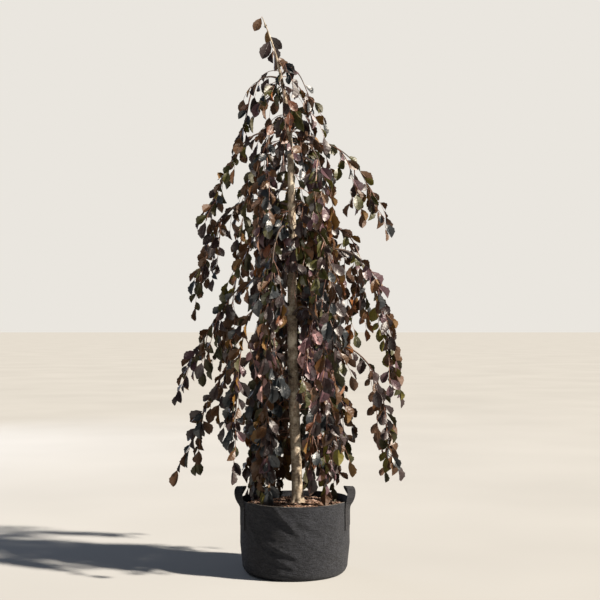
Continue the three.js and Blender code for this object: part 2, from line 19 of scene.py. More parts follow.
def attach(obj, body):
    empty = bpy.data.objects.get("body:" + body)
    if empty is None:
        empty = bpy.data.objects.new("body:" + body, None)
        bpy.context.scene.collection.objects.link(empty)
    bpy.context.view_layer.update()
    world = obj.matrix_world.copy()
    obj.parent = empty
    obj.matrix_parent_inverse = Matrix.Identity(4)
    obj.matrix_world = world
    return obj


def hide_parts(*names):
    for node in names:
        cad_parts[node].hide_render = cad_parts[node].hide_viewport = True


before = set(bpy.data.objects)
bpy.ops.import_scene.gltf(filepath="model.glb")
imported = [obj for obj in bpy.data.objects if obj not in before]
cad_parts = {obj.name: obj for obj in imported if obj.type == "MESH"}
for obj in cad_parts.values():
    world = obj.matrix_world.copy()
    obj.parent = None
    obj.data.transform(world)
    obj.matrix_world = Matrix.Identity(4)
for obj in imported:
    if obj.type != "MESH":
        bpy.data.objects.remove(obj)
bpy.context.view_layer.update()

MM = 0.001

# ---- Sizes of the pot ---------------------------------------------------------------------------

# cut_edge is the rounding of the rim. The shell closes inside, out of sight under the compost
BAG = Named(
    radius=226, height=300, wall=3.4, foot_radius=214, foot_round=26, full_height=120, cut_edge=0.8,
    sides=340, rings=78, underside=(6, 90, 170), foot_rings=[0.0, 1.5, 5, 11, 18, 26], wall_from=30,
    inside=20, closes_at=200, closes_in=20,
)
# how far the wall strays from its round shape, and over what length. Waves are counted round the bag,
# and a zone is the share of the height, below the rim, in which they rise
SOFTNESS = Named(
    swell=2.4, patch=150, crumple=2.0, crumple_size=46, wrinkle=0.8, wrinkle_size=17, wrinkle_squash=2.4,
    rim_wave=1.6, rim_waves=3, rim_phase=20, rim_zone=0.3,
    rim_lift=1.2, lift_waves=2, lift_phase=50, lift_zone=0.2,
    strap_gap=5, strap_fade=12, under_strap=0.25, firm_foot=40,
)
# soft folds in the wall: azimuth and height of both ends, half-width and depth
FOLDS = [
    (-111, 290, -90, 206, 13, 5.5),
    (-118, 150, -92, 104, 10, 4.0),
    (-114, 96, -94, 60, 10, 3.0),
    (-84, 236, -62, 196, 14, 3.0),
    (-58, 110, -30, 74, 16, 2.4),
    (-150, 240, -132, 150, 12, 2.2),
    (-30, 150, -8, 80, 12, 1.6),
    (28, 260, 48, 150, 11, 2.4),
    (104, 210, 126, 120, 12, 2.4),
    (160, 120, 176, 60, 10, 2.0),
    (70, 120, 84, 60, 9, 2.0),
]
# a fold's ridge fades out past its ends, in shares of its length, and a valley lies beside it, in
# half-widths
FOLD = Named(reach=4, runs_on=0.6, fade=0.25, at_ends=0.35, valley=0.6, valley_at=1.6)
SEAM = Named(azimuth=90, lap=26, step=1.6)
# lump_layers: how fast the finer layers of lumps fade, how much finer each is, and how many there are
COMPOST = Named(
    edge_drop=28, centre_drop=15, edge_radius=222, flat_radius=60, doming=1.5, lumps=4.0, lump_size=34,
    lump_layers=(1.0, 2.2, 4), sunk=1, depth=40, gap=1.5, middle=4, rings=46, sides=120,
)
# width and thickness are shares of the length, and so is how high a chip lies
CHIPS = Named(
    count=2600, length=(5, 17), mostly_small=2.2, width=(0.45, 0.8), thickness=0.7, tilt=0.7, lift=0.12,
    clear_of_wall=12, clear_of_trunk=26, shapes=5, unevenness=0.55, bumps=2.3, flatness=0.42,
)
# a strap is sewn flat to the wall, stands out and turns from there to the rim, and is edge on in its
# loop
STRAP = Named(
    width=34, thickness=3.2, edge=0.9, across=7, sewn_from=185, sewn_to=248, half_angle=17, leg_steps=22,
    stand_off=0.9, stand_out=12, leg_turn=45, clear_of_rim=1, arch_rise=50, arch_steps=36,
    twist_power=1.5, lean_out=-6, skew=22,
)
STITCH = Named(length=3.4, width=0.9, pitch=5.2, inset=4.2, corner_gaps=(3, 1), proud=0.1)
HANDLES = {"handle_left": 186, "handle_right": -6}

# ---- Sizes of the tree --------------------------------------------------------------------------

TRUNK = Named(
    foot=285.3, solid_top=2130, tip=2293, foot_radius=22, tip_radius=1.5, taper=2.6, slimming=1.15,
    flare=6, flare_fade=30, flare_lobes=5, lobe_depth=0.16, foot_x=6, lean=0.019,
    nod=104, nod_from=1650, nod_power=2.75, wander=4, wander_length=190, wander_back=(0.8, 1),
    sides=28, ring_step=7, sunk=14, full_relief=12,
)
# the bark's relief: half-heights and half-widths (in degrees) of the collars and knots, lengths of the
# rest
COLLAR = Named(below=6, height=17, width=40, rise=2.6, ends=3)
KNOT = Named(height=7, width=24, ring=3.2, hollow=0.8, sharpness=3, ends=9)
SWELLING = Named(rise=0.9, across=30, along=60)
ROUGHNESS = Named(rise=0.35, across=9, along=7)
# azimuth and height of the trunk's old knots
KNOTS = [(-96, 345), (-58, 428), (-124, 512), (-80, 596), (-20, 470), (150, 560), (60, 400), (-110, 690)]
# name, azimuth, height of its foot, length, slope at its foot, slope that it falls to, how soon it
# bends
BOUGHS = [
    ("upper_left", 178, 1790, 545, 22, -64, 0.3),
    ("upper_right", 3, 1745, 510, 20, -69, 0.47),
    ("upper_front_left", -126, 1830, 500, 30, -86, 0.26),
    ("upper_back_right", 58, 1800, 560, 34, -80, 0.4),
    ("upper_front_right", -52, 1720, 520, 30, -86, 0.28),
    ("upper_back_left", 126, 1700, 580, 34, -80, 0.4),
    ("middle_left", 183, 1508, 610, 18, -88, 0.52),
    ("middle_back", 90, 1480, 680, 36, -80, 0.42),
    ("middle_front_left", -104, 1390, 720, 24, -87, 0.28),
    ("middle_right", -2, 1245, 835, 42, -85, 0.37),
    ("middle_front_right", -54, 1360, 680, 30, -84, 0.34),
    ("middle_back_right", 46, 1400, 740, 34, -82, 0.4),
    ("middle_back_left", 136, 1310, 740, 34, -82, 0.4),
    ("lower_left", 177, 1200, 640, 16, -58, 0.3),
    ("lower_front_left", -136, 1090, 680, 24, -84, 0.36),
    ("lower_front_right", -66, 1050, 660, 28, -84, 0.36),
    ("lower_back", 86, 1070, 760, 34, -82, 0.44),
    ("foot_left", 184, 865, 650, 18, -70, 0.4),
    ("foot_right", 2, 905, 775, 22, -84, 0.4),
    ("foot_back_right", 50, 830, 640, 28, -84, 0.34),
    ("foot_back_left", 128, 800, 640, 28, -84, 0.34),
    ("foot_front_left", -122, 790, 540, 26, -86, 0.28),
    ("foot_front_right", -56, 720, 480, 26, -86, 0.26),
]
# stems that grow straight from the trunk
SHORT_BOUGHS = [
    ("crown_left", 186, 2030, 340, 22, -79, 0.3),
    ("crown_right", -8, 2045, 270, 50, -68, 0.24),
    ("crown_front", -84, 1985, 360, 30, -86, 0.24),
    ("crown_back", 84, 1975, 380, 36, -84, 0.3),
    ("inner_upper_left", -158, 1570, 440, 14, -87, 0.2),
    ("inner_upper_right", -38, 1520, 440, 14, -87, 0.2),
    ("inner_lower_left", -144, 1010, 440, 14, -87, 0.2),
    ("inner_lower_right", -36, 1130, 440, 14, -87, 0.2),
]
# stems that stop short of their full length, as a share of it
SHORTENED = {
    "foot_right": 0.88, "middle_left": 0.86, "upper_left": 0.9, "upper_right": 0.86, "crown_left": 0.9,
    "crown_right": 0.72, "foot_back_right": 0.72, "foot_front_right": 0.76, "middle_right": 0.92,
    "middle_back_right": 0.86,
}
# a limb ends and its mass begins at the share of its length called split
LIMB = Named(
    sway=9, sways=5, sway_shift=90, root_radius=8, ref_length=700, tip_radius=1.6, taper=1.2, split=0.27,
    steps=16, guide_points=12, wood_pieces=3, collar=1.6, collar_length=34, slimmer=0.62, sides=10, curve=3,
)
# where twigs stand, from start to end, and their bare part are shares of a length. One leaves the line
# that carries it by a swing to the side and a lift, and falls a share of the way to hanging at each
# step. curve is the number of pieces that each step is bent in
TWIG = Named(
    start=0.03, end=0.9, spacing=100, jitter=(0.3, 0.7), swing=(35, 95), lift=(6, 24), steepest=60,
    length=(250, 360), shrink=0.55, short_bough=600, fall=-86, droop=0.3, step=42, sway=10,
    root_radius=2.6, slimmer=0.9, tip_radius=1.0, shortest=2, bare=0.15, upright=0.12, sides=6, curve=2,
)
FINE_TWIG = Named(
    start=0.1, end=0.96, spacing=58, jitter=(0.2, 0.8), swing=(28, 80), lift=(6, 30), steepest=50,
    length=(85, 205), shrink=0.35, leader=(60, 125), leader_lift=34, leader_steepest=30, look_back=0.06,
    droop=0.22, step=24, sway=14, root_radius=1.3, tip_radius=0.7, shortest=2, bare=0.05, sides=4, curve=1,
)
# shoots of the trunk itself. Those between the azimuths of its front are left out below the nod
SHOOT = Named(
    lowest=640, highest=2100, spacing=22, turn=137.5, front=42, front_top=1800, length=(110, 300),
    slope=(10, 40), first_slope=20, stand_off=12, droop=0.3, short_from=1650, shortest_share=0.3,
    step=30, sway=12, root_radius=1.8, tip_radius=0.8, shortest=2, bare=0.2,
)
# azimuth, height and length of the shoots that hang before the trunk, and low down beside it
FRONT_SHOOTS = [(-104, 1470, 300), (-84, 1445, 330), (-66, 1420, 280), (-120, 1430, 260)]
LOW_SHOOTS = [
    (204, 800, 370), (168, 740, 330), (222, 700, 300), (148, 660, 280), (190, 620, 240),
    (184, 570, 250), (214, 590, 260), (160, 560, 230),
    (112, 590, 250), (74, 560, 220), (134, 540, 200),
]
# The crown is close about the trunk and opens up outward. By height: the radius of the close part and
# the width of the stretch beyond it, how much wider leaves stand past the stretch, and the shares of
# twigs that are left there: of a stem's own, of the finer ones on a stem, and of those on a twig. The
# masses named full keep all their twigs, and the fullest keeps most of the fine ones.
OPENNESS = Named(
    heights=(500, 1000, 1450, 1735, 1950, 2080), radii=(160, 168, 132, 66, 40, 26),
    stretches=(110, 100, 90, 70, 45, 35), leaf_gaps=(1.15, 1.2, 1.25, 1.35, 1.9, 2.2),
    twigs=(0.65, 0.65, 0.65, 0.55, 0.25, 0.15), fine_on_stems=(0.8, 0.8, 0.8, 0.7, 0.35, 0.25),
    fine_on_twigs=(0.12,) * 6, fine_on_fullest=(0.7,) * 6,
    full=("upper_right", "lower_front_right", "lower_front_left"), fullest="upper_right",
)
# corners of the box that twigs keep within
REACH = np.array([(-485, -366, 0), (456, 498, 2400)])
# how stems share out the space, and how far twigs and leaves stay from the wood and the pot
SPACE = Named(fall=0.62, hang=70, margin=3, limb=9, pot=9, leaf_limb=2, leaf_pot=2)
# heights between which no leaf hangs before the trunk, and how far to each side of it
BARE_TRUNK = Named(stretches=[(330, 1205), (1360, 1690)], half_width=25)

# a leaf blade, in shares of the leaf's length
BLADE = Named(
    rows=10, stalk=0.1, half_width=0.272, belly=0.85, narrowing=0.36, tooth=0.052, slant=0.17,
    pleat=0.012, pleat_inner=0.3, ripples=3.1, ripple_lag=0.35, thickness=0.008,
    stalk_radii=(0.014, 0.01), stalk_length=0.14, stalk_drop=0.004, pinch=0.04, faces_down=-0.2,
)
# forms of leaf: fold along the midrib, curl of the tip, twist, and wave of the margin
LEAF_FORMS = [
    (0.4, 0.06, 0.0, 0.018), (0.65, 0.16, 0.3, 0.025), (0.25, 0.12, -0.35, 0.03), (0.5, 0.24, 0.12, 0.02)
]
# leaves stand on alternate sides of a twig, turned to where there is room, and are drawn down by their
# weight
LEAF = Named(
    length=(50, 84), spacing=29, tries=3, spread=40, spread_shares=(0.6, 1.6), turn=(-60, 60), tilt=(-10, 35),
    outward=(-0.1, 0.45), weight=0.55, end_turn=(-70, 70), end_weight=0.5, young=2, young_size=0.85,
    first=0.6, ahead=0.02, behind=0.04, bough_bare=0.3, stem_bare=0.08, probes=(0.35, 0.7, 1.0),
)
# leaves of the leader: height, azimuth, slope, azimuth that the face looks to, and length
LEADER_LEAVES = [
    (2290, 186, -62, -80, 68), (2268, 12, -74, -60, 26), (2236, 95, -60, 60, 58), (2212, 8, -48, -110, 74),
    (2196, 196, -66, -90, 90), (2172, -14, -68, -70, 64), (2158, 250, -64, 200, 70), (2146, 80, -62, 40, 80),
    (2132, 20, -50, -50, 84),
]
# colours that a spray can have: upper face, underside, roughness, coat, and how likely it is at the
# left and at the right end of the crown. The change from left to right is painted light: the dark,
# cool tints stand for shade on the left and the warm ones for sunlight on the right. Olive and rust
# stand partly for the leaves' own tint and partly for a painted glow of sun through backlit leaves.
# The pink highlight, a painted sheen of sun on glossy leaves, is dealt out to the highlighted sprays alone
TINTS = {
    "black_purple": ("261817", "442a12", 0.45, 0.24, (0.48, 0.38)),
    "charcoal": ("1b2024", "363319", 0.41, 0.27, (0.3, 0.13)),
    "bronze": ("442a0e", "5e4110", 0.47, 0.18, (0.1, 0.22)),
    "mauve": ("473036", "644c3e", 0.43, 0.24, (0.08, 0.13)),
    "olive_backlit_glow": ("33320a", "544d08", 0.47, 0.18, (0.07, 0.2)),
    "rust_backlit_glow": ("502911", "6e4015", 0.49, 0.18, (0.01, 0.07)),
    "painted_pink_highlight": ("8a686a", "9c7a76", 0.43, 0.22, None),
}
# where the tints change over: the width about the middle, and for olive the height from a low place up,
# so that the olive, partly a painted glow of sun through backlit leaves, lies more high in the crown.
# own is the share of a spray's leaves that have the spray's tint
TINTING = Named(width=300, low=900, rise=900, olive_low=0.7, own=0.72)
# x, z and reach of the sprays near the front that carry a painted pink highlight, a sheen of sun on
# glossy leaves, and the tints of those
PINK_HIGHLIGHT_SPRAYS = [(10, 1270, 60), (-130, 1000, 60), (-165, 810, 60), (60, 860, 60), (90, 725, 50)]
PINK_HIGHLIGHT_FRONT = -100
PINK_HIGHLIGHT_TINTS = {"mauve": 0.5, "painted_pink_highlight": 0.3, "bronze": 0.2}

# each mass has a thousand seeds of its own, for its twigs, its fine twigs and its leaves
SEED = Named(
    base=20260, per_mass=1000, fine=500, leaves=999, shoots=60001, shoot=61000, leader=62000, chips=70001
)

# ---- Sizes of the surface patterns --------------------------------------------------------------

# width of one patch of each. The felt's fibres, the thread's lay and the leaves' grain are drawn about
# three times as coarse as they are, so that they show
PATCH = Named(
    fibre=5.0, wrinkle=26.0, thread=1.6667, peat=14.286, chip=11.111, bark=16.667, pore_length=15,
    pore_height=3, lichen=60.0, shoot=22.222, leaf_grain=3.8462, paper=1428.6,
)
WRINKLES_FLAT = 2.6  # how much longer the felt's wrinkles are than they are high
VEIN_PAIRS = 5


# ---- Small tools --------------------------------------------------------------------------------


def lerp(low, high, share):
    return low + (high - low) * share


def seeded(seed):
    """A function that draws the same even numbers from 0 to 1 for the same seed."""
    word = 0xFFFFFFFF
    state = (SEED.base + seed * 2654435761) & word

    def draw():
        nonlocal state
        state = (state + 0x6D2B79F5) & word
        t = (state ^ (state >> 15)) * (1 | state) & word
        t = (t + ((t ^ (t >> 7)) * (61 | t) & word) & word) ^ t
        return (t ^ (t >> 14)) / 4294967296

    return draw


def between(random, span):
    return lerp(span[0], span[1], random())


def unit(vector):
    return vector / max(1e-9, np.linalg.norm(vector))


def direction(azimuth, slope):
    a, s = math.radians(azimuth), math.radians(slope)
    return np.array([math.cos(s) * math.cos(a), math.cos(s) * math.sin(a), math.sin(s)])


def angle_between(a, b):
    """How far azimuth a is from azimuth b, in degrees from -180 to 180."""
    return (a - b + 180) % 360 - 180


def point_at(path, share):
    place = min(1, max(0, share)) * (len(path) - 1)
    k = min(int(place), len(path) - 2)
    return lerp(path[k], path[k + 1], place - k)


def length_of(path):
    return float(np.linalg.norm(np.diff(path, axis=0), axis=1).sum())


def smoothed(path, steps):
    """The same line with more points, curved between the ones it has."""
    path = np.asarray(path, float)
    ends = np.vstack([2 * path[0] - path[1], path, 2 * path[-1] - path[-2]])
    points = []
    for k in range(len(path) - 1):
        a, b, c, d = ends[k : k + 4]
        for t in np.arange(steps) / steps:
            bend = (2 * a - 5 * b + 4 * c - d) * t * t + (3 * b - a - 3 * c + d) * t**3
            points.append(0.5 * (2 * b + (c - a) * t + bend))
    return np.array(points + [path[-1]])


# ---- Materials ----------------------------------------------------------------------------------


def linear(hex_colour):
    """An sRGB colour such as "3a2b2c" as linear red, green, blue and alpha."""
    parts = [int(hex_colour[i : i + 2], 16) / 255 for i in (0, 2, 4)]
    return [c / 12.92 if c <= 0.04045 else ((c + 0.055) / 1.055) ** 2.4 for c in parts] + [1]


def add(tree, kind, inputs=None, stops=(), **settings):
    """Adds a node. inputs gives sockets, by name or number, a value or another node's output, and stops
    gives a colour ramp its places and hex colours."""
    made = tree.nodes.new(kind)
    for name, value in settings.items():
        setattr(made, name, value)
    for name, value in (inputs or {}).items():
        if isinstance(value, bpy.types.NodeSocket):
            tree.links.new(value, made.inputs[name])
        else:
            made.inputs[name].default_value = value
    for k, (place, colour) in enumerate(stops):
        elements = made.color_ramp.elements
        element = elements[k] if k < len(elements) else elements.new(place)
        element.position = place
        element.color = linear(colour)
    return made


def new_material(name, finish):
    """A material with one shader of these constant inputs. Returns it, its tree and the shader."""
    material = bpy.data.materials.new(name)
    material.use_nodes = True
    tree = material.node_tree
    tree.nodes.clear()
    shader = add(tree, "ShaderNodeBsdfPrincipled", finish)
    add(tree, "ShaderNodeOutputMaterial", {"Surface": shader.outputs[0]})
    return material, tree, shader


def covered(tree, base, pattern, stops, colour):
    """A colour laid over another one where a pattern, taken through a ramp, is light. Returns the two
    together, and where the upper one lies."""
    mask = add(tree, "ShaderNodeValToRGB", {"Fac": pattern}, stops).outputs["Color"]
    both = {"Factor": mask, "A": base, "B": linear(colour)}
    return add(tree, "ShaderNodeMix", both, data_type="RGBA").outputs["Result"], mask


def finish_surface(tree, shader, colour, bumps):
    """Gives a shader its colour, where there is one, and bumps of a strength, a depth in metres and a
    pattern, each on top of the one before."""
    if colour:
        tree.links.new(colour, shader.inputs["Base Color"])
    below = {}
    for strength, depth, pattern in bumps:
        inputs = {"Strength": strength, "Distance": depth, "Height": pattern, **below}
        below = {"Normal": add(tree, "ShaderNodeBump", inputs).outputs[0]}
    if below:
        tree.links.new(below["Normal"], shader.inputs["Normal"])


def mottled_material(name, patch, stops, finish, detail=5, roughness=0.5, relief=None):
    """A material with one pattern of patches, which gives its tones and, where relief gives a strength
    and a depth in metres, its bumps too."""
    material, tree, shader = new_material(name, finish)
    place = add(tree, "ShaderNodeTexCoord").outputs["Object"]
    noise_inputs = {"Vector": place, "Scale": 1000 / patch, "Detail": detail, "Roughness": roughness}
    tone = add(tree, "ShaderNodeTexNoise", noise_inputs).outputs["Fac"]
    colour = add(tree, "ShaderNodeValToRGB", {"Fac": tone}, stops).outputs["Color"]
    finish_surface(tree, shader, colour, [(*relief, tone)] if relief else [])
    return material


def felt_material(name, dark, light, dust):
    """Needle-punched polyester felt: dull, a little hairy, with short fibres lying every way, wrinkles
    that run across, and pale specks of dust and lint on it."""
    material, tree, shader = new_material(
        name, {"Roughness": 0.9, "Sheen Weight": 0.06, "Sheen Roughness": 0.5, "Specular IOR Level": 0.3}
    )
    place = add(tree, "ShaderNodeTexCoord").outputs["Object"]
    fibres = add(
        tree, "ShaderNodeTexNoise",
        {"Vector": place, "Scale": 1000 / PATCH.fibre, "Detail": 5, "Roughness": 0.75},
    ).outputs["Fac"]
    across = add(tree, "ShaderNodeMapping", {"Vector": place, "Scale": (1, 1, WRINKLES_FLAT)})
    wrinkles = add(
        tree, "ShaderNodeTexNoise",
        {"Vector": across.outputs[0], "Scale": 1000 / PATCH.wrinkle, "Detail": 6, "Roughness": 0.68},
    ).outputs["Fac"]
    tone = add(tree, "ShaderNodeMix", {"Factor": 0.5, "A": fibres, "B": wrinkles}, data_type="FLOAT")
    tones = {"Fac": tone.outputs["Result"]}
    colour = add(tree, "ShaderNodeValToRGB", tones, [(0.36, dark), (0.66, light)]).outputs["Color"]
    dusty, _ = covered(tree, colour, fibres, [(0.62, "000000"), (0.74, "9a9a9a")], dust)
    finish_surface(tree, shader, dusty, [(1.0, 0.011, wrinkles), (0.9, 0.003, fibres)])
    return material


def bark_material():
    """Young beech bark: smooth grey skin, lines of raised pores across it, and pale cream patches scattered
    over it.
    """
    material, tree, shader = new_material("beech_bark", {"Roughness": 0.78, "Specular IOR Level": 0.35})
    place = add(tree, "ShaderNodeTexCoord").outputs["Object"]
    skin_tone = add(
        tree, "ShaderNodeTexNoise",
        {"Vector": place, "Scale": 1000 / PATCH.bark, "Detail": 6, "Roughness": 0.65},
    ).outputs["Fac"]
    greys = [(0.32, "554a3f"), (0.47, "827565"), (0.6, "a29583"), (0.76, "c2b5a1")]
    grey = add(tree, "ShaderNodeValToRGB", {"Fac": skin_tone}, greys).outputs["Color"]
    # pores: short lines that run round the trunk
    slimmer = PATCH.pore_length / PATCH.pore_height
    across = add(tree, "ShaderNodeMapping", {"Vector": place, "Scale": (1, 1, slimmer)})
    pores = add(
        tree, "ShaderNodeTexNoise",
        {"Vector": across.outputs[0], "Scale": 1000 / PATCH.pore_length, "Detail": 2, "Roughness": 0.4},
    ).outputs["Fac"]
    pored, lines = covered(tree, grey, pores, [(0.61, "000000"), (0.7, "e0e0e0")], "5a4c3f")
    # pale cream patches scattered at random over the bark
    lichen = add(
        tree, "ShaderNodeTexNoise",
        {"Vector": place, "Scale": 1000 / PATCH.lichen, "Detail": 8, "Roughness": 0.7},
    ).outputs["Fac"]
    patched, _ = covered(tree, pored, lichen, [(0.5, "000000"), (0.6, "c8c8c8")], "d2c9b7")
    finish_surface(tree, shader, patched, [(0.5, 0.001, skin_tone), (0.6, 0.0012, lines)])
    return material


def young_bark_material(name, stops, roughness):
    """Young beech shoots: thin reddish-brown bark with a silky skin."""
    finish = {"Roughness": roughness}
    return mottled_material(name, PATCH.shoot, stops, finish, roughness=0.6, relief=(0.4, 0.0006))


def crumb_material(name, patch, stops):
    """Peat and composted bark: matt, each crumb its own brown, from nearly black to pinkish tan."""
    finish = {"Roughness": 0.95, "Specular IOR Level": 0.2}
    return mottled_material(name, patch, stops, finish, roughness=0.7, relief=(0.8, 0.002))


def leaf_material(name, colour, roughness, coat):
    """A copper beech leaf: a thin waxy skin, drawn into a groove along the midrib and ribs along the
    side veins, which catch the light, with a faint leathery grain between them."""
    material, tree, shader = new_material(
        name,
        {"Base Color": linear(colour), "Roughness": roughness, "Coat Weight": coat, "Coat Roughness": 0.4,
         "Specular IOR Level": 0.48},
    )
    place = add(tree, "ShaderNodeTexCoord").outputs
    uv = add(tree, "ShaderNodeSeparateXYZ", {"Vector": place["UV"]}).outputs
    # a rib on each pleat
    phase = add(tree, "ShaderNodeMath", {0: uv["Y"], 1: VEIN_PAIRS * 2 * math.pi}, operation="MULTIPLY")
    ribs = add(tree, "ShaderNodeMath", {0: phase.outputs[0]}, operation="SINE")
    # the groove: deepest at the midrib, in the middle of the width, and level beyond a twentieth of it
    offset = add(tree, "ShaderNodeMath", {0: uv["X"], 1: 0.5}, operation="SUBTRACT")
    side = add(tree, "ShaderNodeMath", {0: offset.outputs[0]}, operation="ABSOLUTE")
    groove = add(tree, "ShaderNodeMath", {0: side.outputs[0], 1: 0.05}, operation="MINIMUM")
    grain = add(
        tree, "ShaderNodeTexNoise",
        {"Vector": place["Object"], "Scale": 1000 / PATCH.leaf_grain, "Detail": 3},
    )
    bumps = [(0.5, 0.00035, ribs.outputs[0]), (0.8, 0.03, groove.outputs[0])]
    finish_surface(tree, shader, None, bumps + [(0.5, 0.0012, grain.outputs["Fac"])])
    return material


# ---- Pieces -------------------------------------------------------------------------------------


def add_piece(name, mesh, replaced, smooth_below=40):
    """Puts a mesh of the tree in the scene, on the part's one body. Edges that turn less are smooth."""
    mesh.name = name
    mesh.polygons.foreach_set("use_smooth", np.ones(len(mesh.polygons), bool))
    mesh.set_sharp_from_angle(angle=math.radians(smooth_below))
    piece = bpy.data.objects.new(name, mesh)
    bpy.context.scene.collection.objects.link(piece)
    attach(piece, "root")
    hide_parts(*replaced)


def mesh_of(bm, *materials):
    """The finished mesh of a bmesh that was worked in millimetres."""
    bmesh.ops.scale(bm, vec=(MM, MM, MM), verts=bm.verts)
    mesh = bpy.data.meshes.new("piece")
    bm.to_mesh(mesh)
    bm.free()
    for material in materials:
        mesh.materials.append(material)
    return mesh


def skin(rings):
    """A skin through rings of points, each ring extruded from the one before, with both ends filled."""
    bm = bmesh.new()
    bmesh.ops.create_circle(bm, cap_ends=False, radius=1, segments=len(rings[0]))
    ring = list(bm.verts)
    edges = list(bm.edges)
    first = list(edges)
    for k, points in enumerate(rings):
        if k:
            made = bmesh.ops.extrude_edge_only(bm, edges=edges)["geom"]
            edges = [e for e in made if isinstance(e, bmesh.types.BMEdge)]
            fresh = {v for v in made if isinstance(v, bmesh.types.BMVert)}
            ring = [next(e.other_vert(v) for e in v.link_edges if e.other_vert(v) in fresh) for v in ring]
        for vertex, point in zip(ring, points):
            vertex.co = point
    for end in (first, edges):
        bmesh.ops.holes_fill(bm, edges=end, sides=0)
    bmesh.ops.recalc_face_normals(bm, faces=bm.faces)
    return bm


def template(bm):
    """A bmesh as arrays, to be repeated: points, corners, face sizes, face materials and corner UVs."""
    mesh = bpy.data.meshes.new("template")
    bm.to_mesh(mesh)
    bm.free()

    def read(items, field, kind, width=1):
        values = np.empty(len(items) * width, kind)
        items.foreach_get(field, values)
        return values

    shape = Named(
        points=read(mesh.vertices, "co", float, 3).reshape(-1, 3),
        corners=read(mesh.loops, "vertex_index", np.int64),
        sizes=read(mesh.polygons, "loop_total", np.int64),
        kinds=read(mesh.polygons, "material_index", np.int64),
        uvs=np.zeros(len(mesh.loops) * 2),
    )
    if mesh.uv_layers:
        shape.uvs = read(mesh.uv_layers[0].data, "uv", float, 2)
    bpy.data.meshes.remove(mesh)
    return shape


def joined(copies, materials):
    """One mesh of many copies. copies is a list of (template, turns and moves as an array of n 3×4)."""
    points, corners, sizes, kinds, uvs = [], [], [], [], []
    start = 0
    for shape, places in copies:
        n, count = len(places), len(shape.points)
        turned = np.einsum("nij,vj->nvi", places[:, :, :3], shape.points) + places[:, None, :, 3]
        points.append(turned.reshape(-1))
        offsets = start + count * np.arange(n)
        corners.append((shape.corners[None] + offsets[:, None]).reshape(-1))
        sizes.append(np.tile(shape.sizes, n))
        kinds.append(np.tile(shape.kinds, n))
        uvs.append(np.tile(shape.uvs, n))
        start += n * count
    points, corners, sizes, kinds, uvs = map(np.concatenate, (points, corners, sizes, kinds, uvs))
    mesh = bpy.data.meshes.new("joined")
    mesh.vertices.add(start)
    mesh.vertices.foreach_set("co", points * MM)
    mesh.loops.add(len(corners))
    mesh.loops.foreach_set("vertex_index", corners)
    mesh.polygons.add(len(sizes))
    mesh.polygons.foreach_set("loop_start", np.concatenate([[0], np.cumsum(sizes)[:-1]]))
    mesh.polygons.foreach_set("material_index", kinds)
    mesh.uv_layers.new(name="UVMap").data.foreach_set("uv", uvs)
    mesh.update(calc_edges=True)
    mesh.validate()
    for material in materials:
        mesh.materials.append(material)
    return mesh


def tubes(lines, sides, material):
    """One mesh of round tapering tubes. lines is a list of (points, radii)."""
    curve = bpy.data.curves.new("tubes", "CURVE")
    curve.dimensions = "3D"
    curve.bevel_depth = 1
    curve.bevel_resolution = (sides - 4) // 2
    curve.use_fill_caps = True
    for points, radii in lines:
        spline = curve.splines.new("POLY")
        spline.points.add(len(points) - 1)
        four = np.hstack([np.asarray(points) * MM, np.ones((len(points), 1))])
        spline.points.foreach_set("co", four.reshape(-1))
        spline.points.foreach_set("radius", np.asarray(radii) * MM)
    bones = bpy.data.objects.new("tubes", curve)
    bpy.context.scene.collection.objects.link(bones)
    mesh = bpy.data.meshes.new_from_object(bones.evaluated_get(bpy.context.evaluated_depsgraph_get()))
    bpy.data.objects.remove(bones)
    bpy.data.curves.remove(curve)
    bm = bmesh.new()
    bm.from_mesh(mesh)
    bmesh.ops.remove_doubles(bm, verts=bm.verts, dist=1e-7)
    bmesh.ops.recalc_face_normals(bm, faces=bm.faces)
    bm.to_mesh(mesh)
    bm.free()
    mesh.materials.clear()
    mesh.materials.append(material)
    return mesh


# ---- Grow bag -----------------------------------------------------------------------------------


def fold_depth(azimuth, z):
    """How far the soft folds push the wall out at a spot: each is a ridge with a valley beside it."""
    total = 0
    for from_azimuth, from_z, to_azimuth, to_z, half_width, depth in FOLDS:
        around = math.radians(BAG.radius)
        run = np.array([angle_between(to_azimuth, from_azimuth) * around, to_z - from_z])
        spot = np.array([angle_between(azimuth, from_azimuth) * around, z - from_z])
        share = float(spot @ run / (run @ run))
        offset = (spot[0] * run[1] - spot[1] * run[0]) / np.linalg.norm(run) / half_width
        if abs(offset) > FOLD.reach or not -FOLD.runs_on <= share <= 1 + FOLD.runs_on:
            continue
        # full depth in the middle of the fold, less at its ends, and soon nothing past them
        middle = math.sin(math.pi * min(1, max(0, 0.5 * share + 0.25)))
        fade = math.exp(-((max(0, -share, share - 1) / FOLD.fade) ** 2)) * lerp(FOLD.at_ends, 1, middle)
        valley = FOLD.valley * math.exp(-((offset - FOLD.valley_at) ** 2))
        total += depth * fade * (math.exp(-offset * offset) - valley)
    return total


def near_rim(z, zone):
    """0 below a zone of the bag's height under the rim, rising to 1 at the rim."""
    return max(0, z / BAG.height - (1 - zone)) / zone


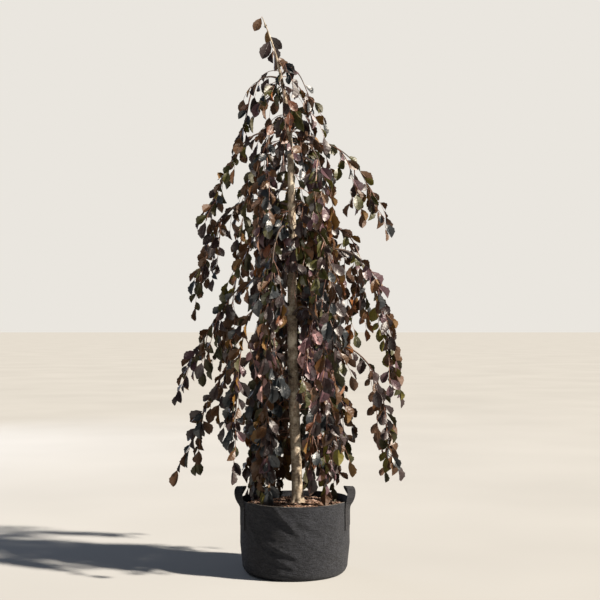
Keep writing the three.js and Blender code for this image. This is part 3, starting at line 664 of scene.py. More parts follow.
def bag_radius(azimuth, z):
    """Radius of the bag's outer face. It swells and folds a little, but not under the handles'
    straps."""
    if z < BAG.foot_round:
        rise = 1 - z / BAG.foot_round
        radius = BAG.foot_radius - BAG.foot_round * (1 - math.sqrt(max(0, 1 - rise * rise)))
    else:
        radius = lerp(BAG.foot_radius, BAG.radius, min(1, z / BAG.full_height))
    spot = direction(azimuth, 0) * BAG.radius
    spot[2] = z
    swell = SOFTNESS.swell * noise.noise(Vector(spot / SOFTNESS.patch))
    crumple = SOFTNESS.crumple * noise.noise(Vector(spot / SOFTNESS.crumple_size))
    # the fine wrinkles run round the bag
    spot[2] *= SOFTNESS.wrinkle_squash
    crumple += SOFTNESS.wrinkle * noise.noise(Vector(spot / SOFTNESS.wrinkle_size))
    wave = math.sin(math.radians(azimuth * SOFTNESS.rim_waves + SOFTNESS.rim_phase))
    rim = SOFTNESS.rim_wave * wave * near_rim(z, SOFTNESS.rim_zone)
    nearest = min(abs(angle_between(azimuth, middle)) for middle in HANDLES.values())
    free = (nearest - STRAP.half_angle - SOFTNESS.strap_gap) / SOFTNESS.strap_fade
    softness = lerp(SOFTNESS.under_strap, 1, min(1, max(0, free))) * min(1, z / SOFTNESS.firm_foot)
    lap = SEAM.step if 0 < angle_between(azimuth, SEAM.azimuth) < math.degrees(SEAM.lap / BAG.radius) else 0
    return radius + (swell + crumple + fold_depth(azimuth, z) + rim) * softness + lap


def bag_mesh(felt, cut_edge):
    """One closed shell: up the outside from the middle of the underside, over the cut rim, down
    inside."""
    azimuths = [360 * k / BAG.sides for k in range(BAG.sides)]
    heights = BAG.foot_rings + list(np.linspace(BAG.wall_from, BAG.height - 1, BAG.rings))
    rings = [[(*(r * direction(a, 0))[:2], 0) for a in azimuths] for r in BAG.underside]

    def level(z, inward):
        ring = []
        for a in azimuths:
            radius = bag_radius(a, z) - inward
            wave = math.sin(math.radians(SOFTNESS.lift_waves * a + SOFTNESS.lift_phase))
            lift = SOFTNESS.rim_lift * wave * near_rim(z, SOFTNESS.lift_zone)
            ring.append(radius * direction(a, 0) + [0, 0, z + lift])
        return ring

    rings += [level(z, 0) for z in heights]
    rings += [level(BAG.height, BAG.cut_edge), level(BAG.height, BAG.wall - BAG.cut_edge)]
    rings += [level(BAG.height - 1, BAG.wall)]
    rings += [level(z, BAG.wall) for z in heights[-2 : -2 - BAG.inside : -2]]
    rings += [level(BAG.closes_at, BAG.wall + BAG.closes_in)]
    bm = skin(rings)
    # faces on the cut top of the rim take the second, paler material, partly a painted highlight
    for face in bm.faces:
        face.material_index = int(face.calc_center_median().z > BAG.height - 2 * BAG.cut_edge)
    return mesh_of(bm, felt, cut_edge)


# ---- Compost ------------------------------------------------------------------------------------


def compost_top(radius):
    share = max(0, (radius - COMPOST.flat_radius) / (COMPOST.edge_radius - COMPOST.flat_radius))
    return BAG.height - lerp(COMPOST.centre_drop, COMPOST.edge_drop, share**COMPOST.doming)


def compost_height(x, y):
    spot = Vector((x / COMPOST.lump_size, y / COMPOST.lump_size, 0.3))
    lump = noise.fractal(spot, *COMPOST.lump_layers)
    return compost_top(math.hypot(x, y)) + COMPOST.lumps * lump - COMPOST.sunk


def compost_mesh(material):
    """The filling's crusted top, lumpy as it was poured, with a flat underside out of sight."""
    turns = [2 * math.pi * k / COMPOST.sides for k in range(COMPOST.sides)]
    outer = BAG.radius - BAG.wall - COMPOST.gap
    floor = compost_top(outer) - COMPOST.depth
    rings = [[(r * math.cos(t), r * math.sin(t), floor) for t in turns] for r in (COMPOST.middle, outer - 3)]
    for k in range(COMPOST.rings):
        r = lerp(outer - 1, COMPOST.middle, k / (COMPOST.rings - 1))
        spots = [(r * math.cos(t), r * math.sin(t)) for t in turns]
        rings.append([(x, y, compost_height(x, y)) for x, y in spots])
    return mesh_of(skin(rings), material)


def pebble(unevenness=0, bumps=1, flatness=1, seed=0):
    """A small stone shape of unit width, flattened and uneven."""
    bm = bmesh.new()
    bmesh.ops.create_icosphere(bm, subdivisions=1, radius=0.5)
    for vertex in bm.verts:
        vertex.co *= 1 + unevenness * noise.noise(vertex.co * bumps + Vector((seed, 0, 0)))
        vertex.co.z *= flatness
    return template(bm)


def chips_meshes(materials):
    """The loose crumbs of bark on the compost, one mesh for each material."""
    shapes = [pebble(CHIPS.unevenness, CHIPS.bumps, CHIPS.flatness, 3.7 * k) for k in range(CHIPS.shapes)]
    random = seeded(SEED.chips)
    copies = [[] for _ in shapes]
    for _ in range(CHIPS.count):
        radius = (BAG.radius - CHIPS.clear_of_wall) * math.sqrt(random())
        turn = 2 * math.pi * random()
        x, y = radius * math.cos(turn), radius * math.sin(turn)
        length = lerp(*CHIPS.length, random() ** CHIPS.mostly_small)
        spin = Matrix.Rotation(2 * math.pi * random(), 3, "Z")
        tilt = Matrix.Rotation(CHIPS.tilt * (random() - 0.5), 3, "X")
        width = length * between(random, CHIPS.width)
        if math.hypot(x - TRUNK.foot_x, y) < CHIPS.clear_of_trunk + length / 2:
            continue
        place = np.zeros((3, 4))
        place[:, :3] = np.array(spin @ tilt @ Matrix.Diagonal((length, width, length * CHIPS.thickness)))
        place[:, 3] = (x, y, compost_height(x, y) + CHIPS.lift * length)
        copies[int(random() * len(shapes))].append(place)
    meshes = []
    for part, material in enumerate(materials):
        share = [(shape, np.array(c[part :: len(materials)])) for shape, c in zip(shapes, copies)]
        meshes.append(joined(share, [material]))
    return meshes


# ---- Handles ------------------------------------------------------------------------------------


def strap_leg(azimuth, side):
    """Centre, width direction and turn up one leg, flat on the wall where it is sewn and free of it
    above."""
    angle = azimuth + side * STRAP.half_angle
    rim = BAG.height + STRAP.clear_of_rim
    steps = []
    for z in np.linspace(STRAP.sewn_from, rim, STRAP.leg_steps):
        free = max(0, (z - STRAP.sewn_to) / (rim - STRAP.sewn_to)) ** 2
        radius = bag_radius(angle, min(z, BAG.height)) + STRAP.stand_off + STRAP.thickness / 2
        centre = direction(angle, 0) * (radius + STRAP.stand_out * free)
        centre[2] = z
        steps.append((centre, side * direction(angle + 90, 0), STRAP.leg_turn * free))
    return steps


def strap_path(azimuth):
    """The same for the whole strap: up one leg, over the loop, which turns it edge on, and down the
    other."""
    first, last = strap_leg(azimuth, -1), strap_leg(azimuth, 1)
    middle = (first[-1][0] + last[-1][0]) / 2
    reach = (last[-1][0] - first[-1][0]) / 2
    loop = []
    for share in np.linspace(0, 1, STRAP.arch_steps + 1)[1:-1]:
        # the half of the loop toward the front stands out, the other one leans in over the rim
        front = np.cos(math.pi * share) * np.sign(reach[1])
        lean = (STRAP.lean_out + STRAP.skew * front) * np.sin(math.pi * share)
        centre = middle - reach * np.cos(math.pi * share) + direction(azimuth, 0) * lean
        centre[2] = middle[2] + STRAP.arch_rise * np.sin(math.pi * share)
        turn = lerp(STRAP.leg_turn, 90, (2 * min(share, 1 - share)) ** STRAP.twist_power)
        loop.append((centre, (first if share < 0.5 else last)[-1][1], turn))
    return first + loop + last[::-1]


def strap_frames(azimuth):
    """Centre, width direction and outward direction along a strap."""
    path = strap_path(azimuth)
    outward = direction(azimuth, 0)
    frames = []
    for k, (centre, flat, turn) in enumerate(path):
        travel = unit(path[min(k + 1, len(path) - 1)][0] - path[max(k - 1, 0)][0])
        wide = flat * np.cos(np.radians(turn)) - outward * np.sin(np.radians(turn))
        wide = unit(wide - travel * (wide @ travel))
        frames.append((centre, wide, np.cross(travel, wide)))
    return frames


def strap_mesh(azimuth, felt):
    half_wide, half_thick, edge = STRAP.width / 2, STRAP.thickness / 2, STRAP.edge
    outline = []
    for end in (1, -1):
        across = np.linspace(-1, 1, STRAP.across) * (half_wide - edge)
        outline += [(u * end, -half_thick * end) for u in across]
        outline += [(half_wide * end, v * end) for v in (edge - half_thick, half_thick - edge)]
    rings = [[c + w * u + n * v for u, v in outline] for c, w, n in strap_frames(azimuth)]
    return mesh_of(skin(rings), felt)


def stitches_mesh(azimuths, thread):
    """Rows of stitches down both edges of each sewn leg, and across it at its foot and below the
    rim."""
    half = STRAP.width / 2 - STITCH.inset
    bottom, top = STRAP.sewn_from + STITCH.inset, STRAP.sewn_to - STITCH.inset
    row = np.arange(STITCH.corner_gaps[0] - half, half - STITCH.corner_gaps[1], STITCH.pitch)
    spots = [(u, z, True) for u in (-half, half) for z in np.arange(bottom, top, STITCH.pitch)]
    spots += [(u, z, False) for z in (bottom, top) for u in row]
    places = []
    for angle in [azimuth + side * STRAP.half_angle for azimuth in azimuths for side in (-1, 1)]:
        wide, normal = direction(angle + 90, 0), direction(angle, 0)
        for u, z, upright in spots:
            radius = bag_radius(angle, z) + STRAP.stand_off + STRAP.thickness + STITCH.proud
            length, width = (STITCH.width, STITCH.length) if upright else (STITCH.length, STITCH.width)
            place = np.zeros((3, 4))
            place[:, 0] = wide * length
            place[:, 1] = np.array([0, 0, 1]) * width
            place[:, 2] = normal * STITCH.width
            place[:, 3] = normal * radius + wide * u + np.array([0, 0, z])
            places.append(place)
    return joined([(pebble(), np.array(places))], [thread])


# ---- Trunk --------------------------------------------------------------------------------------


def flare_at(z):
    return np.exp((TRUNK.foot - z) / TRUNK.flare_fade)


def trunk_centre(z):
    bent = np.maximum(0, (z - TRUNK.nod_from) / (TRUNK.tip - TRUNK.nod_from)) ** TRUNK.nod_power
    phase = z / TRUNK.wander_length
    slower, later = TRUNK.wander_back
    x = TRUNK.foot_x - TRUNK.lean * (z - TRUNK.foot) - TRUNK.nod * bent + TRUNK.wander * np.sin(phase)
    return np.stack([x, TRUNK.wander * np.sin(slower * phase + later), z + 0 * phase], axis=-1)


def trunk_radius(z):
    share = np.clip((z - TRUNK.foot) / (TRUNK.tip - TRUNK.foot), 0, 1)
    taper = (1 - share**TRUNK.taper) ** TRUNK.slimming
    return lerp(TRUNK.tip_radius, TRUNK.foot_radius, taper) + TRUNK.flare * flare_at(z)


def trunk_relief(azimuth, z):
    """How far the bark stands out at a spot: collars under the boughs, old knots and slow swellings."""
    out = 0
    for _, bough_azimuth, height, *_ in BOUGHS:
        dz = (z - height + COLLAR.below) / COLLAR.height
        turn = angle_between(azimuth, bough_azimuth) / COLLAR.width
        if abs(dz) < COLLAR.ends and abs(turn) < COLLAR.ends:
            out += COLLAR.rise * math.exp(-dz * dz - turn * turn)
    for knot_azimuth, height in KNOTS:
        dz = (z - height) / KNOT.height
        turn = angle_between(azimuth, knot_azimuth) / KNOT.width
        off = dz * dz + turn * turn
        if off < KNOT.ends:
            out += KNOT.ring * math.exp(-KNOT.sharpness * (math.sqrt(off) - 1) ** 2)
            out -= KNOT.hollow * math.exp(-KNOT.sharpness * off)
    x, y, _ = direction(azimuth, 0) * TRUNK.foot_radius
    for size in (SWELLING, ROUGHNESS):
        out += size.rise * noise.noise(Vector((x / size.across, y / size.across, z / size.along)))
    return out


def trunk_mesh(bark):
    rings = []
    for z in np.arange(TRUNK.foot - TRUNK.sunk, TRUNK.tip, TRUNK.ring_step):
        above = max(z, TRUNK.foot)
        size = min(1, trunk_radius(above) / TRUNK.full_relief)
        ring = []
        for k in range(TRUNK.sides):
            azimuth = 360 * k / TRUNK.sides
            lobe = TRUNK.lobe_depth * flare_at(above) * math.cos(math.radians(TRUNK.flare_lobes * azimuth))
            radius = trunk_radius(above) * (1 + lobe) + trunk_relief(azimuth, z) * size
            ring.append(trunk_centre(z) + direction(azimuth, 0) * radius)
        rings.append(ring)
    return mesh_of(skin(rings), bark)


# ---- Stems and the space that each one owns -----------------------------------------------------


def heading_at(mass, share):
    """Azimuth and slope of a bough's line at a share of its length. It sways a little to both sides."""
    sway = LIMB.sway * math.sin(LIMB.sways * share + mass.height / LIMB.sway_shift)
    slope = mass.hang + (mass.launch - mass.hang) * math.exp(-((share / mass.bend) ** 2))
    return mass.azimuth + sway, slope


def spine_of(mass):
    if mass.leader:
        return trunk_centre(np.linspace(TRUNK.solid_top + 0.3, TRUNK.tip, LIMB.steps + 1))
    points = [trunk_centre(mass.height)]
    for k in range(LIMB.steps):
        heading = heading_at(mass, (k + 0.5) / LIMB.steps)
        points.append(points[-1] + direction(*heading) * mass.length / LIMB.steps)
    return np.array(points)


def limb_radius(mass, share):
    root = LIMB.root_radius * math.sqrt(mass.length / LIMB.ref_length)
    return lerp(LIMB.tip_radius, root, (1 - share) ** LIMB.taper)


def make_mass(row, short=False):
    """A mass of foliage: its bough's line, the hanging line that shares out the space, and its bare
    wood."""
    name, azimuth, height, length, launch, hang, bend = row
    mass = Named(
        name=name, azimuth=azimuth, height=height, length=length, launch=launch, hang=hang, bend=bend,
        leader=name == "leader", split=0 if short else LIMB.split, reach=SHORTENED.get(name, 1),
    )
    mass.spine = spine_of(mass)
    shares = np.linspace(mass.split, 1, LIMB.guide_points)
    mass.guide = np.array([point_at(mass.spine, share) for share in shares])
    if not mass.leader:
        mass.guide[:, 2] -= SPACE.hang * (1 - shares)
    pieces = LIMB.wood_pieces
    mass.wood = np.array([point_at(mass.spine, mass.split * k / pieces) for k in range(pieces + 1)])
    return mass


LEADER = ("leader", 200, TRUNK.solid_top, TRUNK.tip - TRUNK.solid_top, 0, 0, 1)
MASSES = [make_mass(LEADER, True)]
MASSES += [make_mass(row) for row in BOUGHS]
MASSES += [make_mass(row, True) for row in SHORT_BOUGHS]
SQUASH = np.array([1, 1, SPACE.fall])
GUIDE_STARTS = np.concatenate([m.guide[:-1] for m in MASSES]) * SQUASH
GUIDE_STEPS = np.concatenate([np.diff(m.guide, axis=0) for m in MASSES]) * SQUASH
WOODY = [m for m in MASSES if m.split]
WOOD_STARTS = np.concatenate([m.wood[:-1] for m in WOODY])
WOOD_STEPS = np.concatenate([np.diff(m.wood, axis=0) for m in WOODY])
WOOD_RADII = np.repeat([limb_radius(m, 0) for m in WOODY], LIMB.wood_pieces)


def distances(points, starts, steps):
    """Distance of each point from each straight piece, a row for each point."""
    offset = points[:, None] - starts
    along = np.einsum("psk,sk->ps", offset, steps) / np.einsum("sk,sk->s", steps, steps)
    nearest = offset - np.clip(along, 0, 1)[..., None] * steps
    return np.sqrt(np.einsum("psk,psk->ps", nearest, nearest))


def in_space(points, index):
    """Whether all points lie nearer to this mass's hanging line than to any other's."""
    to_masses = distances(points * SQUASH, GUIDE_STARTS, GUIDE_STEPS)
    to_masses = to_masses.reshape(len(points), len(MASSES), -1).min(axis=2)
    own = to_masses[:, index].copy()
    to_masses[:, index] = np.inf
    return bool((to_masses.min(axis=1) - own > 2 * SPACE.margin).all())


def clear_of_wood(points, gap):
    low = points[points[:, 2] < TRUNK.solid_top + gap]
    if len(low):
        centres = trunk_centre(low[:, 2])
        if (np.hypot(*(low - centres)[:, :2].T) < trunk_radius(low[:, 2]) + gap).any():
            return False
    return bool((distances(points, WOOD_STARTS, WOOD_STEPS) > WOOD_RADII + gap).all())


def clear_of_pot(points, gap):
    handle_top = BAG.height + STRAP.arch_rise + STRAP.width / 2
    for x, y, z in points:
        radius = math.hypot(x, y)
        if radius < BAG.radius - STRAP.width:
            top = compost_top(radius)
        else:
            top = handle_top if radius < BAG.radius + STRAP.width else 0
        if z <= top + gap:
            return False
    return True


def may_hold(point, index):
    """Whether a twig may pass a point. index is its mass, or None for a shoot of the trunk."""
    points = point[None]
    if (point < REACH[0]).any() or (point > REACH[1]).any():
        return False
    if not (clear_of_pot(points, SPACE.pot) and clear_of_wood(points, SPACE.limb)):
        return False
    return index is None or in_space(points, index)


def by_height(z, values):
    return np.interp(z, OPENNESS.heights, values)


def openness(point):
    """0 in the close middle of the crown, 1 where it is open."""
    out = np.hypot(*(point - trunk_centre(point[2]))[:2])
    beyond = (out - by_height(point[2], OPENNESS.radii)) / by_height(point[2], OPENNESS.stretches)
    return min(1, max(0, beyond))


# ---- Twigs --------------------------------------------------------------------------------------


def grow_line(start, azimuth, slope, steps, index, rule, turn):
    """A twig's line: it falls a share further at each step, and stops where it would leave its
    space."""
    path = [start]
    for k in range(steps):
        slope = lerp(slope, TWIG.fall, rule.droop)
        after = path[-1] + direction(azimuth + rule.sway * math.sin(k + turn), slope) * rule.step
        if not may_hold(after, index):
            break
        path.append(after)
    return np.array(path) if len(path) > rule.shortest else None


def grow_twigs(mass, index):
    """The twigs of a mass leave its stem on alternate sides."""
    count = max(2, round(mass.length * (1 - mass.split) * (TWIG.end - TWIG.start) / TWIG.spacing))
    fullest = mass.name == OPENNESS.fullest
    fine_shares = OPENNESS.fine_on_fullest if fullest else OPENNESS.fine_on_twigs
    twigs = []
    for j in range(count):
        random = seeded(index * SEED.per_mass + j)
        place = (j + between(random, TWIG.jitter)) / count
        share = lerp(mass.split, 1, lerp(TWIG.start, TWIG.end, place))
        azimuth, slope = heading_at(mass, share)
        foot = point_at(mass.spine, share)
        azimuth += (1 if j % 2 else -1) * between(random, TWIG.swing)
        size = min(1, mass.length / TWIG.short_bough) * (1 - TWIG.shrink * share)
        steps = int(between(random, TWIG.length) * size / TWIG.step + 0.5)
        slope = min(TWIG.steepest, slope + between(random, TWIG.lift))
        path = grow_line(foot, azimuth, slope, steps, index, TWIG, j)
        kept = lerp(1, by_height(foot[2], OPENNESS.twigs), openness(foot))
        left_out = random() > kept and mass.name not in OPENNESS.full
        if path is not None and share <= mass.reach and not left_out:
            root = min(TWIG.root_radius, TWIG.slimmer * limb_radius(mass, share))
            twigs.append(Named(
                path=path, azimuth=azimuth, root=root, tip=TWIG.tip_radius, bare=TWIG.bare,
                fine_shares=fine_shares,
            ))
    return twigs


def heading_of(step, otherwise):
    """Azimuth and slope of a short step of a line. A nearly upright one has the azimuth given."""
    level = math.hypot(step[0], step[1])
    slope = math.degrees(math.atan2(step[2], level))
    if level < TWIG.upright * np.linalg.norm(step):
        return otherwise, slope
    return math.degrees(math.atan2(step[1], step[0])), slope


def grow_fine_twigs(parent, index, number):
    """The finer twigs of a stem or twig, on alternate sides of it, fewer far out from the trunk, and
    one that carries it on. number tells the parents of a mass apart, or is the seed of a shoot's
    twigs."""
    random = seeded(number if index is None else index * SEED.per_mass + SEED.fine + number)
    rule = FINE_TWIG
    count = int(length_of(parent.path) * (rule.end - parent.bare) / rule.spacing + 0.5)
    twigs = []
    for j in range(count + 1):
        leads_on = j == count
        place = (j + between(random, rule.jitter)) / max(1, count)
        share = 1 if leads_on else lerp(max(parent.bare, rule.start), rule.end, place)
        foot = point_at(parent.path, share)
        azimuth, slope = heading_of(foot - point_at(parent.path, share - rule.look_back), parent.azimuth)
        swing, lift, length = [between(random, span) for span in (rule.swing, rule.lift, rule.length)]
        chance = random()
        if leads_on:
            slope = min(rule.leader_steepest, slope + rule.leader_lift)
            length = between(random, rule.leader)
        else:
            azimuth += (1 if j % 2 else -1) * swing
            slope = min(rule.steepest, slope + lift)
            length *= 1 - rule.shrink * share
            if chance > lerp(1, by_height(foot[2], parent.fine_shares), openness(foot)):
                continue
        path = grow_line(foot, azimuth, slope, round(length / rule.step), index, rule, j)
        if path is not None:
            twigs.append(Named(
                path=path, azimuth=azimuth, root=rule.root_radius, tip=rule.tip_radius, bare=rule.bare
            ))
    return twigs


def grow_shoots():
    """Shoots of the trunk, turning round it as they go up it, and the ones that hang before it."""
    random = seeded(SEED.shoots)
    rows = []
    count = int((SHOOT.highest - SHOOT.lowest) / SHOOT.spacing)
    for k in range(count):
        height = lerp(SHOOT.lowest, SHOOT.highest, (k + random()) / count)
        high = min(1, max(0, (height - SHOOT.short_from) / (SHOOT.highest - SHOOT.short_from)))
        length = between(random, SHOOT.length) * lerp(1, SHOOT.shortest_share, high)
        if abs(angle_between(SHOOT.turn * k, -90)) > SHOOT.front or height > SHOOT.front_top:
            rows.append((SHOOT.turn * k, height, length))
    shoots = []
    for number, (azimuth, height, length) in enumerate(rows + FRONT_SHOOTS + LOW_SHOOTS):
        centre = trunk_centre(height)
        first = centre + direction(azimuth, SHOOT.first_slope) * (trunk_radius(height) + SHOOT.stand_off)
        slope = between(random, SHOOT.slope)
        path = grow_line(first, azimuth, slope, round(length / SHOOT.step), None, SHOOT, number)
        if path is not None:
            shoots.append(Named(
                path=np.vstack([centre[None], path]), azimuth=azimuth, root=SHOOT.root_radius,
                tip=SHOOT.tip_radius, bare=SHOOT.bare, fine_shares=OPENNESS.fine_on_twigs,
            ))
    return shoots


# ---- Leaves -------------------------------------------------------------------------------------


def leaf_template(fold, curl, twist, wave):
    """A leaf of unit length along +Y with its face toward +Z: a pointed oval with a toothed margin,
    folded along its midrib, pleated between its side veins, its tip curled down, on a short stalk."""
    bm = bmesh.new()
    bmesh.ops.create_grid(bm, x_segments=2, y_segments=BLADE.rows, size=0.5)
    uv = bm.loops.layers.uv.new("UVMap")
    for face in bm.faces:
        for loop in face.loops:
            loop[uv].uv = (loop.vert.co.x + 0.5, loop.vert.co.y + 0.5)
    for vertex in bm.verts:
        side, along = 2 * vertex.co.x, vertex.co.y + 0.5
        tooth = -1 if round(along * BLADE.rows) % 2 else 1
        oval = math.sin(math.pi * along**BLADE.belly) * (1 - BLADE.narrowing * along**3)
        half_width = BLADE.half_width * oval * (1 + BLADE.tooth * tooth)
        ripple = wave * math.sin(BLADE.ripples * math.pi * (along + BLADE.ripple_lag * side)) * abs(side)
        pleat = BLADE.pleat * tooth * math.sin(math.pi * along) * lerp(BLADE.pleat_inner, 1, abs(side))
        x, z = side * half_width, fold * abs(side) * half_width + ripple + pleat - curl * along * along
        turn = twist * along
        vertex.co = (
            x * math.cos(turn) - z * math.sin(turn),
            lerp(BLADE.stalk, 1, along) + BLADE.slant * abs(side) * math.sin(math.pi * along),
            x * math.sin(turn) + z * math.cos(turn),
        )
    for end in (BLADE.stalk, 1.0):
        tip = [v for v in bm.verts if abs(v.co.y - end) < BLADE.pinch]
        bmesh.ops.pointmerge(bm, verts=tip, merge_co=min(tip, key=lambda v: abs(v.co.y - end)).co)
    bmesh.ops.solidify(bm, geom=list(bm.faces), thickness=BLADE.thickness)
    bmesh.ops.recalc_face_normals(bm, faces=bm.faces)
    for face in bm.faces:
        face.material_index = 1 if face.normal.z < BLADE.faces_down else 0
    middle = Matrix.Translation((0, BLADE.stalk / 2, -BLADE.stalk_drop))
    stalk = bmesh.ops.create_cone(
        bm, cap_ends=True, segments=3, radius1=BLADE.stalk_radii[0], radius2=BLADE.stalk_radii[1],
        depth=BLADE.stalk_length, matrix=middle @ Matrix.Rotation(-math.pi / 2, 4, "X"),
    )
    for vertex in stalk["verts"]:
        for face in vertex.link_faces:
            face.material_index = 2
    return template(bm)


def hang(axis, weight):
    """Turns a direction downward, an upward one the most."""
    axis = axis.copy()
    axis[2] -= weight + 2 * max(0, axis[2])
    return unit(axis)


def leaf_place(foot, axis, up, length):
    """The turn, size and move that put a leaf's foot at a point, its length along axis, facing up."""
    up = unit(up - axis * (up @ axis))
    return np.column_stack([np.cross(axis, up) * length, axis * length, up * length, foot])


def leaf_is_free(foot, axis, length):
    points = foot + axis * length * np.array([[share] for share in LEAF.probes])
    for x, y, z in points:
        if y < 0 and abs(x - trunk_centre(z)[0]) < BARE_TRUNK.half_width:
            if any(low < z < high for low, high in BARE_TRUNK.stretches):
                return False
    return clear_of_pot(points, SPACE.leaf_pot) and clear_of_wood(points, SPACE.leaf_limb)


def grow_leaves(twig, random):
    """Leaves on alternate sides of a twig back from its tip, and one that carries it on."""
    leaves = []
    path = twig.path
    middle = path[len(path) // 2]
    spacing = LEAF.spacing * lerp(1, by_height(middle[2], OPENNESS.leaf_gaps), openness(middle))
    count = int(length_of(path) * (1 - twig.bare) / spacing)
    side = 1 if random() < 0.5 else -1
    axis = hang(unit(path[-1] - path[-2]), LEAF.end_weight)
    length = between(random, LEAF.length)
    if leaf_is_free(path[-1], axis, length):
        up = direction(twig.azimuth + between(random, LEAF.end_turn), 0)
        leaves.append(leaf_place(path[-1], axis, up, length))
    for k in range(count):
        share = lerp(1, twig.bare, (k + LEAF.first) / count)
        foot = point_at(path, share)
        ahead = unit(point_at(path, share + LEAF.ahead) - point_at(path, share - LEAF.behind))
        side = -side
        for _ in range(LEAF.tries):
            outward = direction(twig.azimuth + between(random, LEAF.turn), between(random, LEAF.tilt))
            across = np.cross(ahead, outward)
            across = unit(across) if np.linalg.norm(across) > 0.2 else np.array([1.0, 0, 0])
            spread = math.radians(LEAF.spread * between(random, LEAF.spread_shares)) * side
            axis = ahead * math.cos(spread) + across * math.sin(spread)
            axis = hang(axis + outward * between(random, LEAF.outward), LEAF.weight)
            length = between(random, LEAF.length) * (LEAF.young_size if k < LEAF.young else 1)
            if leaf_is_free(foot, axis, length):
                leaves.append(leaf_place(foot, axis, outward, length))
                break
    return leaves


def tint_chances(x, y, z):
    """How likely each tint is at a place: dark and cool on the left as painted shade, warm on the right as
    painted sunlight, and more olive, partly a painted backlit glow, at the top."""
    # sprays near the front with a painted pink highlight
    if y < PINK_HIGHLIGHT_FRONT and any(math.hypot(x - a, z - b) < reach for a, b, reach in PINK_HIGHLIGHT_SPRAYS):
        return PINK_HIGHLIGHT_TINTS
    right = min(1, max(0, x / TINTING.width + 0.5))
    high = min(1, max(0, (z - TINTING.low) / TINTING.rise))
    chances = {name: lerp(*ends, right) for name, (*_, ends) in TINTS.items() if ends}
    chances["olive_backlit_glow"] *= lerp(TINTING.olive_low, 1, high)
    return chances


def pick_tint(point, random):
    chances = tint_chances(*point)
    left = random() * sum(chances.values())
    for name, chance in chances.items():
        left -= chance
        if left <= 0:
            break
    return name


def deal_leaves(leaves, twig, tint, random):
    """Adds a twig's leaves to the lists by tint and form. Most have the spray's own tint."""
    for place in grow_leaves(twig, random):
        own = tint if random() < TINTING.own else pick_tint(twig.path[-1], random)
        leaves.setdefault((own, int(random() * len(LEAF_FORMS))), []).append(place)


# ---- The crown ----------------------------------------------------------------------------------


def grow_crown():
    """All twigs and fine twigs, and the places of all leaves by (tint, form of leaf)."""
    twigs, fine, leaves = [], [], {}
    for index, mass in enumerate(MASSES):
        if mass.leader:
            continue
        shares = np.linspace(mass.split, mass.reach, LIMB.guide_points)
        stem = Named(
            path=np.array([point_at(mass.spine, share) for share in shares]), azimuth=mass.azimuth,
            bare=LEAF.stem_bare, fine_shares=OPENNESS.fine_on_stems,
        )
        own_twigs = grow_twigs(mass, index)
        sprays = [
            [parent] + grow_fine_twigs(parent, index, number)
            for number, parent in enumerate([stem] + own_twigs)
        ]
        twigs += own_twigs
        random = seeded(index * SEED.per_mass + SEED.leaves)
        for spray in sprays:
            fine += spray[1:]
            for twig in spray:
                deal_leaves(leaves, twig, pick_tint(twig.path[-1], random), random)
        if mass.split:
            bough = Named(path=mass.wood, azimuth=mass.azimuth, bare=LEAF.bough_bare)
            deal_leaves(leaves, bough, pick_tint(mass.wood[-1], random), random)
    random = seeded(SEED.leader)
    for height, azimuth, slope, facing, length in LEADER_LEAVES:
        foot = trunk_centre(height)
        place = leaf_place(foot, direction(azimuth, slope), direction(facing, 10), length)
        kind = (pick_tint(foot, random), int(random() * len(LEAF_FORMS)))
        leaves.setdefault(kind, []).append(place)
    for seed, shoot in enumerate(grow_shoots(), SEED.shoot):
        random = seeded(seed)
        children = grow_fine_twigs(shoot, None, seed)
        twigs.append(shoot)
        fine += children
        tint = pick_tint(shoot.path[-1], random)
        for twig in [shoot] + children:
            deal_leaves(leaves, twig, tint, random)
    return twigs, fine, leaves


def limb_line(mass):
    """A bough's whole line with its radii, thicker in the collar where it leaves the trunk."""
    line = smoothed(mass.spine, LIMB.curve)
    line = line[: round(mass.reach * (len(line) - 1)) + 1]
    radii = []
    for share in np.linspace(0, mass.reach, len(line)):
        collar = lerp(1, LIMB.collar, math.exp(-((share * mass.length / LIMB.collar_length) ** 2)))
        radii.append(LIMB.slimmer * limb_radius(mass, share) * collar)
    return line, radii


def twig_line(twig, steps):
    line = smoothed(twig.path, steps)
    return line, [lerp(twig.root, twig.tip, k / (len(line) - 1)) for k in range(len(line))]


def build_crown():
    young_bark = young_bark_material(
        "young_beech_bark", [(0.3, "261d1a"), (0.5, "3f312a"), (0.72, "665244")], 0.65
    )
    shoot_bark = young_bark_material(
        "beech_shoot_bark", [(0.3, "3c251d"), (0.5, "664234"), (0.72, "8f6a55")], 0.5
    )
    stalk = young_bark_material("leaf_stalk", [(0.3, "6a3d30"), (0.7, "9a6650")], 0.5)
    twigs, fine, leaves = grow_crown()
    boughs = [f"bough_{m.name}" for m in MASSES if m.split]
    foliage = [f"foliage_{m.name}" for m in MASSES]
    limbs = [limb_line(m) for m in MASSES if not m.leader]
    add_piece("boughs", tubes(limbs, LIMB.sides, young_bark), boughs, 60)
    for name, kind, rule in (("twigs", twigs, TWIG), ("fine_twigs", fine, FINE_TWIG)):
        lines = [twig_line(twig, rule.curve) for twig in kind]
        add_piece(name, tubes(lines, rule.sides, shoot_bark), foliage, 80)
    shapes = [leaf_template(*form) for form in LEAF_FORMS]
    for name, (upper, under, roughness, coat, _) in TINTS.items():
        copies = [(shape, np.array(leaves[name, k])) for k, shape in enumerate(shapes) if (name, k) in leaves]
        materials = [
            leaf_material(f"beech_leaf_{name}", upper, roughness, coat),
            leaf_material(f"beech_leaf_{name}_underside", under, 0.6, 0),
            stalk,
        ]
        add_piece(f"leaves_{name}", joined(copies, materials), foliage, 50)


# ---- The pot and the trunk ----------------------------------------------------------------------


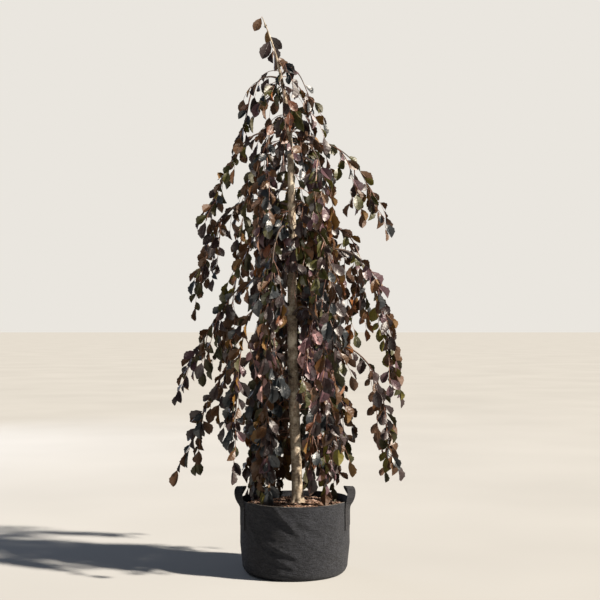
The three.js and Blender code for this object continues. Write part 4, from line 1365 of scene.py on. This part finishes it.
def build_pot():
    felt = felt_material("needle_punched_felt", "0b0d12", "2f3138", "74726e")
    # the rim's cut top is paler than the wall: partly lint and soil caught on it, partly a painted highlight
    # where the rim catches the light
    cut_edge = felt_material("cut_felt_edge_lint_and_highlight", "3c3a38", "7c7872", "a09a90")
    strap_felt = felt_material("felt_strap", "0c0d0f", "303035", "5a5956")
    peat_tones = [(0.3, "261b16"), (0.5, "5f4839"), (0.72, "957866")]
    dark_tones = [(0.3, "35271f"), (0.55, "725645"), (0.8, "9a7d69")]
    light_tones = [(0.3, "5c4a41"), (0.55, "957f73"), (0.8, "c4ad9f")]
    peat = crumb_material("peat_compost", PATCH.peat, peat_tones)
    dark_chip = crumb_material("composted_bark", PATCH.chip, dark_tones)
    light_chip = crumb_material("fresh_bark_chip", PATCH.chip, light_tones)
    # bonded polyester sewing thread: smooth and faintly glossy, a shade lighter than the felt
    thread_tones = [(0.35, "1b1b1d"), (0.65, "3a3a3d")]
    thread = mottled_material("polyester_thread", PATCH.thread, thread_tones, {"Roughness": 0.55}, detail=2)
    add_piece("felt_bag", bag_mesh(felt, cut_edge), ["grow_bag"])
    add_piece("compost_top", compost_mesh(peat), ["compost"], 180)
    for name, mesh in zip(("bark_crumbs", "bark_chips"), chips_meshes([dark_chip, light_chip])):
        add_piece(name, mesh, ["compost"], 25)
    for name, azimuth in HANDLES.items():
        add_piece(f"strap_{name}", strap_mesh(azimuth, strap_felt), [name])
    add_piece("strap_stitches", stitches_mesh(HANDLES.values(), thread), list(HANDLES), 180)


# ---- Studio -------------------------------------------------------------------------------------


def put_in_scene(name, data, place=(0, 0, 0), turn=(0, 0, 0)):
    """Adds an object of the studio at a place in metres."""
    made = bpy.data.objects.new(name, data)
    made.location = place
    made.rotation_euler = turn
    bpy.context.scene.collection.objects.link(made)
    return made


def add_lamp(name, kind, place, target, energy, colour, **settings):
    """A lamp at a place, turned to a target."""
    light = bpy.data.lights.new(name, kind)
    light.energy = energy
    light.color = linear(colour)[:3]
    for setting, value in settings.items():
        setattr(light, setting, value)
    toward = Vector(target) - Vector(place)
    put_in_scene(name, light, place, toward.to_track_quat("-Z", "Y").to_euler())


def build_studio():
    bm = bmesh.new()
    bmesh.ops.create_grid(bm, x_segments=8, y_segments=8, size=300)
    floor_mesh = bpy.data.meshes.new("floor")
    bm.to_mesh(floor_mesh)
    bm.free()
    # pale matt paper
    tones = [(0.3, "a6a6a5"), (0.7, "acacab")]
    finish = {"Roughness": 0.95, "Specular IOR Level": 0.1}
    floor_mesh.materials.append(mottled_material("studio_paper", PATCH.paper, tones, finish, detail=2))
    put_in_scene("floor", floor_mesh)

    # the walls look pale, but give less light than they show, so that the shadows in the crown stay
    # deep
    world = bpy.data.worlds.new("studio")
    world.use_nodes = True
    tree = world.node_tree
    tree.nodes.clear()
    light = add(tree, "ShaderNodeBackground", {"Color": linear("c8d6ea"), "Strength": 0.12})
    wall = add(tree, "ShaderNodeBackground", {"Color": linear("eae6df"), "Strength": 1.0})
    seen = add(tree, "ShaderNodeLightPath").outputs["Is Camera Ray"]
    mixed = add(tree, "ShaderNodeMixShader", {0: seen, 1: light.outputs[0], 2: wall.outputs[0]})
    add(tree, "ShaderNodeOutputWorld", {"Surface": mixed.outputs[0]})
    bpy.context.scene.world = world

    add_lamp("key", "SUN", (7.6, -3.0, 6.0), (0, 0, 0), 10.5, "fff4e4", angle=math.radians(3))
    narrow = math.radians(26)
    add_lamp("fill", "AREA", (-0.9, -5.0, 1.6), (0, 0, 1.35), 2.8, "f4ece0", size=1.2, spread=narrow)
    add_lamp("back", "AREA", (-4.5, 5.5, 3.0), (0, 0, 1.2), 120, "dfe9ff", size=3.0)

    lens = bpy.data.cameras.new("camera")
    lens.sensor_width = 36
    lens.lens = 65.3
    lens.shift_y = 0.048
    scene = bpy.context.scene
    scene.camera = put_in_scene("camera", lens, (0.0207, -4.5, 1.0), (math.pi / 2, 0, 0))
    scene.view_settings.view_transform = "Standard"


build_studio()
build_pot()
add_piece("trunk_bark", trunk_mesh(bark_material()), ["trunk"], 180)
build_crown()
